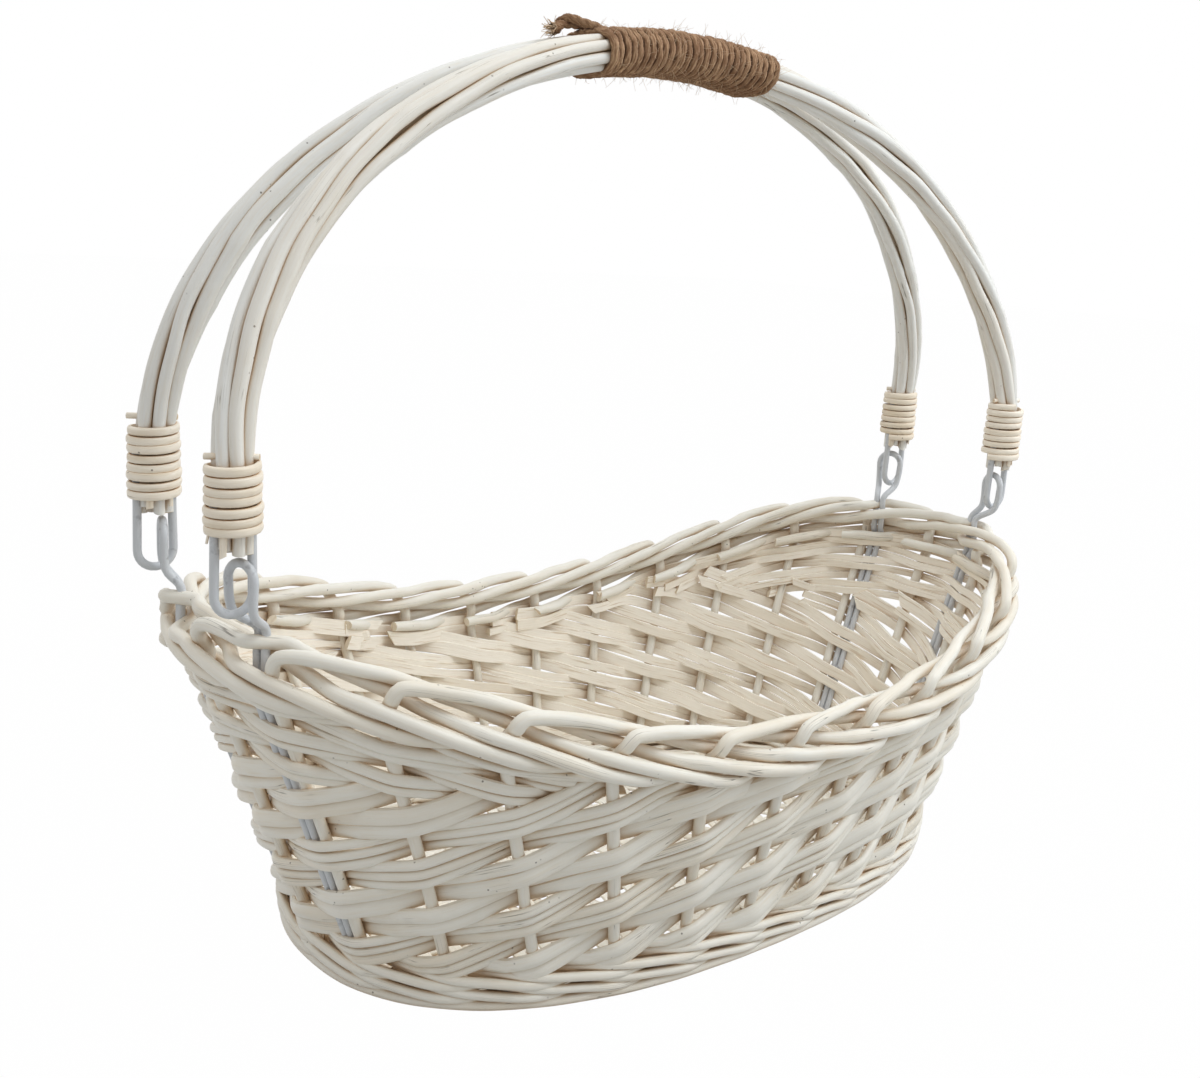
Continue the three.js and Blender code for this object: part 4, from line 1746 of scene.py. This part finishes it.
@dataclass
class JuteBinding:
    """Two-ply twine wound round both arches at the grip, with loose fibres and a tail.

    Drift is how far the twine strays along, out and in its width.
    """

    handle: Handle
    seed: int = 37
    diameter: float = 2.95
    length: float = 87.0
    middle: float = -5.5
    turns: int = 28
    reach: float = 7.25
    flatness: float = 2.2
    hairs: int = 520
    hair_width: float = 0.13
    hair_length: tuple[float, float] = (1.5, 5.0)
    hair_bend: float = 0.35
    hair_root: float = 0.42
    lay: float = 11.0
    steps: int = 72
    swell: float = 1.14
    slant: float = 1.3
    tail_width: float = 3.5
    tail_lay: float = 7.0
    tail_length: float = 23.0
    tail_hairs: int = 34
    tail_hair_width: float = 0.36
    tail_hair_length: tuple[float, float] = (1.5, 4.5)
    drift: Point = (0.4, 0.3, 0.3)
    drift_runs: tuple[float, float] = (2600.0, 4100.0)
    strands: tuple[tuple[Point, ...], ...] = (
        ((10, 7, -0.8), (7, 6, 1.5), (2, 5, 2.9), (-3, 4.5, 2.9), (-8, 4, 1.9), (-12, 3, 0.4)),
        ((6, -6, 0.2), (3, -3, 2.2), (-1, 0, 3.4), (-5, 3, 4.6), (-7, 6, 3.2), (-6, 9, 0.6)),
    )

    def _ring(self, x: Array, share: Array) -> Array:
        """Points of the winding at places along the grip, a share of a turn round it.

        Args:
            x: The places.
            share: The turns.

        Returns:
            The points, n by 3.
        """
        handle = self.handle
        z = handle.height(x)
        cos, sin = np.cos(share * TURN), np.sin(share * TURN)
        y = np.tanh(self.flatness * cos) * handle.side(z) + self.reach * cos
        points = np.stack([x, y, z], 1)
        return points + handle.away(x, z) * (self.reach * sin)[:, None]

    def build(self, finish: Material) -> None:
        """Makes the twine, its tail and its fibres.

        Args:
            finish: Its material.
        """
        rng = np.random.default_rng(self.seed)
        drift_along, drift_out, drift_width = self.drift
        run = np.linspace(0, 1, self.turns * self.steps)
        share = run * self.turns
        x = self.middle + (run - 0.5) * self.length
        x = x + self.slant * np.sin(share * TURN)
        line = self._ring(x, share)
        line[:, 0] += wander(rng, run * self.drift_runs[0], drift_along)
        away = unit(line - np.stack([line[:, 0], 0 * share, self.handle.height(line[:, 0])], 1))
        line = line + away * wander(rng, run * self.drift_runs[1], drift_out)[:, None]
        twine = RodMesh("jute_twine")
        distance = np.cumsum(np.linalg.norm(np.gradient(line, axis=0), axis=1))
        width = self.diameter * self.swell + wander(rng, distance, drift_width)
        roll = distance / self.lay * TURN
        twine.add(line, width, section=Section.PLIED, outward=away, roll=roll)
        self._tail(twine, rng)
        self._fibres(twine, rng, line)
        dress(twine.make(70.0), finish, Body.HANDLE, ("jute_binding",))

    def _tail(self, twine: RodMesh, rng: Rng) -> None:
        """Adds the two strands of the tail at the left end of the grip, with frayed ends.

        Args:
            twine: The mesh of the winding.
            rng: Where the fibres' variation comes from.
        """
        x = self.middle - self.length / 2
        top = self._ring(np.array([x]), np.array([0.25]))[0]
        for strand in self.strands:
            line = smooth([top + np.array(shift) for shift in strand], 0.8)
            roll = np.linspace(0, self.tail_length, len(line)) / self.tail_lay * TURN
            twine.add(line, self.tail_width, section=Section.PLIED, roll=roll, tone=0.2)
            for _ in range(self.tail_hairs):
                heading = unit(np.array([-1.0, rng.normal(0, 0.6), rng.normal(0.0, 0.45)]))
                origin = line[-1] + rng.normal(0, 0.8, 3)
                size = (rng.uniform(*self.tail_hair_length), self.tail_hair_width)
                self._hair(twine, rng, origin, heading, size)

    def _hair(
        self,
        twine: RodMesh,
        rng: Rng,
        origin: Array,
        heading: Array,
        size: tuple[float, float],
    ) -> None:
        """Adds one loose fibre.

        Args:
            twine: The mesh of the winding.
            rng: Where its bend comes from.
            origin: Where it starts.
            heading: Which way it starts.
            size: Its length and its width.
        """
        length, width = size
        bend = rng.normal(0, self.hair_bend, 3)
        t = np.linspace(0, 1, 5)[:, None]
        line = origin + (heading + bend * t) * t * length
        twine.add(line, width * (1 - 0.6 * t[:, 0]), section=Section.STRAP, tone=0.9)

    def _fibres(self, twine: RodMesh, rng: Rng, line: Array) -> None:
        """Adds fibres that stand off the winding.

        Args:
            twine: The mesh of the winding.
            rng: Where their variation comes from.
            line: The line of the winding.
        """
        middle = np.stack([line[:, 0], 0 * line[:, 0], self.handle.height(line[:, 0])], 1)
        for _ in range(self.hairs):
            i = int(rng.integers(5, len(line) - 5))
            out = unit(line[i] - middle[i])
            along = unit(line[i + 1] - line[i - 1])
            heading = unit(out * rng.uniform(0.2, 1.0) + along * rng.normal(0, 0.8))
            origin = line[i] + out * self.diameter * self.hair_root
            size = (rng.uniform(*self.hair_length), self.hair_width)
            self._hair(twine, rng, origin, heading, size)


# The studio


@dataclass(frozen=True)
class Studio:
    """Floor, lights and camera; a lamp has its place, its size and its power."""

    eye: Point = (-362.771, -400.388, 271.881)
    yaw: float = 0.698695
    pitch: float = 0.231096
    roll: float = -0.0641285
    focus: float = 1308.376
    middle: tuple[float, float] = (602.186, 536.977)
    frame: tuple[int, int] = (1200, 1078)
    sensor: float = 36.0
    bright_side: Point = (0.1, 0.45, 0.89)
    levels: tuple[float, float, float, float] = (-0.8, 0.9, 0.28, 0.93)
    sky: Color = (1.0, 0.987, 0.962, 1.0)
    lamp_color: Point = (0.94, 0.975, 1.0)
    lamp_aim: Point = (0.0, 0.0, 0.12)
    lamps: tuple[tuple[Point, float, float], ...] = (
        ((0.3, -0.55, 1.15), 0.4, 4.7),
        ((0.1, 0.4, 1.2), 0.7, 0.8),
        ((0.8, -0.5, 0.5), 0.5, 2.2),
    )
    floor_size: float = 12.0
    floor_drop: float = 0.0002

    def camera(self) -> None:
        """Places the camera."""
        sine, cosine, flat = math.sin(self.yaw), math.cos(self.yaw), math.cos(self.pitch)
        forward = Vector((sine * flat, cosine * flat, -math.sin(self.pitch)))
        level = Vector((cosine, -sine, 0.0))
        down = forward.cross(level)
        right = level * math.cos(self.roll) + down * math.sin(self.roll)
        down = down * math.cos(self.roll) - level * math.sin(self.roll)
        aside = (self.frame[0] / 2 - self.middle[0]) / self.focus
        below = (self.frame[1] / 2 - self.middle[1]) / self.focus
        forward = (forward + right * aside + down * below).normalized()
        right = (right - forward * right.dot(forward)).normalized()
        up = right.cross(forward)
        bpy.ops.object.camera_add()
        camera = bpy.context.object
        turn = Matrix((right, up, -forward)).transposed().to_4x4()
        camera.matrix_world = Matrix.Translation(Vector(self.eye) * MM) @ turn
        camera.data.sensor_width = self.sensor
        camera.data.lens = self.focus / self.frame[0] * self.sensor
        camera.data.clip_start = 0.01
        bpy.context.scene.camera = camera

    def world(self) -> None:
        """Makes the world light up one side, and look white itself."""
        scene = bpy.context.scene
        scene.view_settings.view_transform = "Standard"
        scene.world = scene.world or bpy.data.worlds.new("World")
        shader = Shader(scene.world)
        rays = shader.node("ShaderNodeLightPath").outputs
        seen = {0: rays["Is Camera Ray"], 1: rays["Is Transmission Ray"]}
        share = shader.node("ShaderNodeMath", {"operation": "MAXIMUM"}, seen)
        heading = shader.node("ShaderNodeTexCoord").outputs["Generated"]
        sides = {0: heading, 1: self.bright_side}
        toward = shader.node("ShaderNodeVectorMath", {"operation": "DOT_PRODUCT"}, sides)
        spread = dict(zip(("From Min", "From Max", "To Min", "To Max"), self.levels))
        spread["Value"] = toward.outputs["Value"]
        level = shader.node("ShaderNodeMapRange", None, spread).outputs[0]
        lit = shader.node("ShaderNodeBackground", None, {"Color": self.sky, "Strength": level})
        white = shader.node("ShaderNodeBackground", None, {"Color": WHITE})
        parts = {0: share.outputs[0], 1: lit.outputs[0], 2: white.outputs[0]}
        both = shader.node("ShaderNodeMixShader", None, parts)
        shader.node("ShaderNodeOutputWorld", None, {"Surface": both.outputs[0]})

    def lights(self) -> None:
        """Hangs the lamps."""
        for spot, size, power in self.lamps:
            bpy.ops.object.light_add(type="AREA", location=spot)
            lamp = bpy.context.object
            lamp.data.size = size
            lamp.data.energy = power
            lamp.data.color = self.lamp_color
            aim = Vector(self.lamp_aim) - Vector(spot)
            lamp.rotation_mode = "QUATERNION"
            lamp.rotation_quaternion = aim.to_track_quat("-Z", "Y")

    def floor(self) -> None:
        """Lays the floor."""
        select_only(None)
        bpy.ops.mesh.primitive_plane_add(size=self.floor_size, location=(0, 0, -self.floor_drop))
        ground = bpy.context.object
        ground.name = "floor"
        ground.data.materials.append(FloorFinish().material())


def corners(box: tuple[Vector, Vector]) -> list[list[float]]:
    """A box as plain lists."""
    return [list(map(float, corner)) for corner in box]


def main() -> None:
    """Builds the basket's pieces round the frame, in order."""
    logging.basicConfig(level=logging.INFO, format="%(message)s")
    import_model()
    studio = Studio()
    studio.camera()
    studio.world()
    studio.lights()
    studio.floor()

    shape = Outline()
    rods = WillowFinish("willow_rod")
    splits = WillowFinish("willow_split", worn=0.35)
    arches = WillowFinish("willow_arch", paint(233, 234, 232), worn=0.15, shaded=0.8)
    pale, tan = paint(248, 240, 226), paint(214, 194, 162)
    # Full painted shade with a short reach darkens each strap toward its edges and the grooves
    # between.
    cane = WillowFinish("cane_strip", pale, tan, worn=0.5, shaded=1.0, hollow=0.0035)
    rod_material, split_material = rods.material(), splits.material()
    Stakes(shape).build(rod_material)
    Wale(shape).build(rod_material)
    wall = WovenWall(shape)
    wall.build(split_material, [f"weaver_{row}" for row in range(1, 9)])
    PackedEnd(wall, "packing_rows_right", 0.0).build(split_material, "packing_right")
    PackedEnd(wall, "packing_rows_left", 13.0, (-0.1, -0.2)).build(split_material, "packing_left")
    BaseMat(shape).build(split_material)

    links = WireLinks(shape)
    handle = Handle(links)
    links.build(WireFinish().material(), handle.cane_bottom, handle.foot_height)
    handle.build(arches.material())
    CaneBindings(handle).build(cane.material())
    JuteBinding(handle).build(JuteFinish().material())


if __name__ == "__main__":
    main()
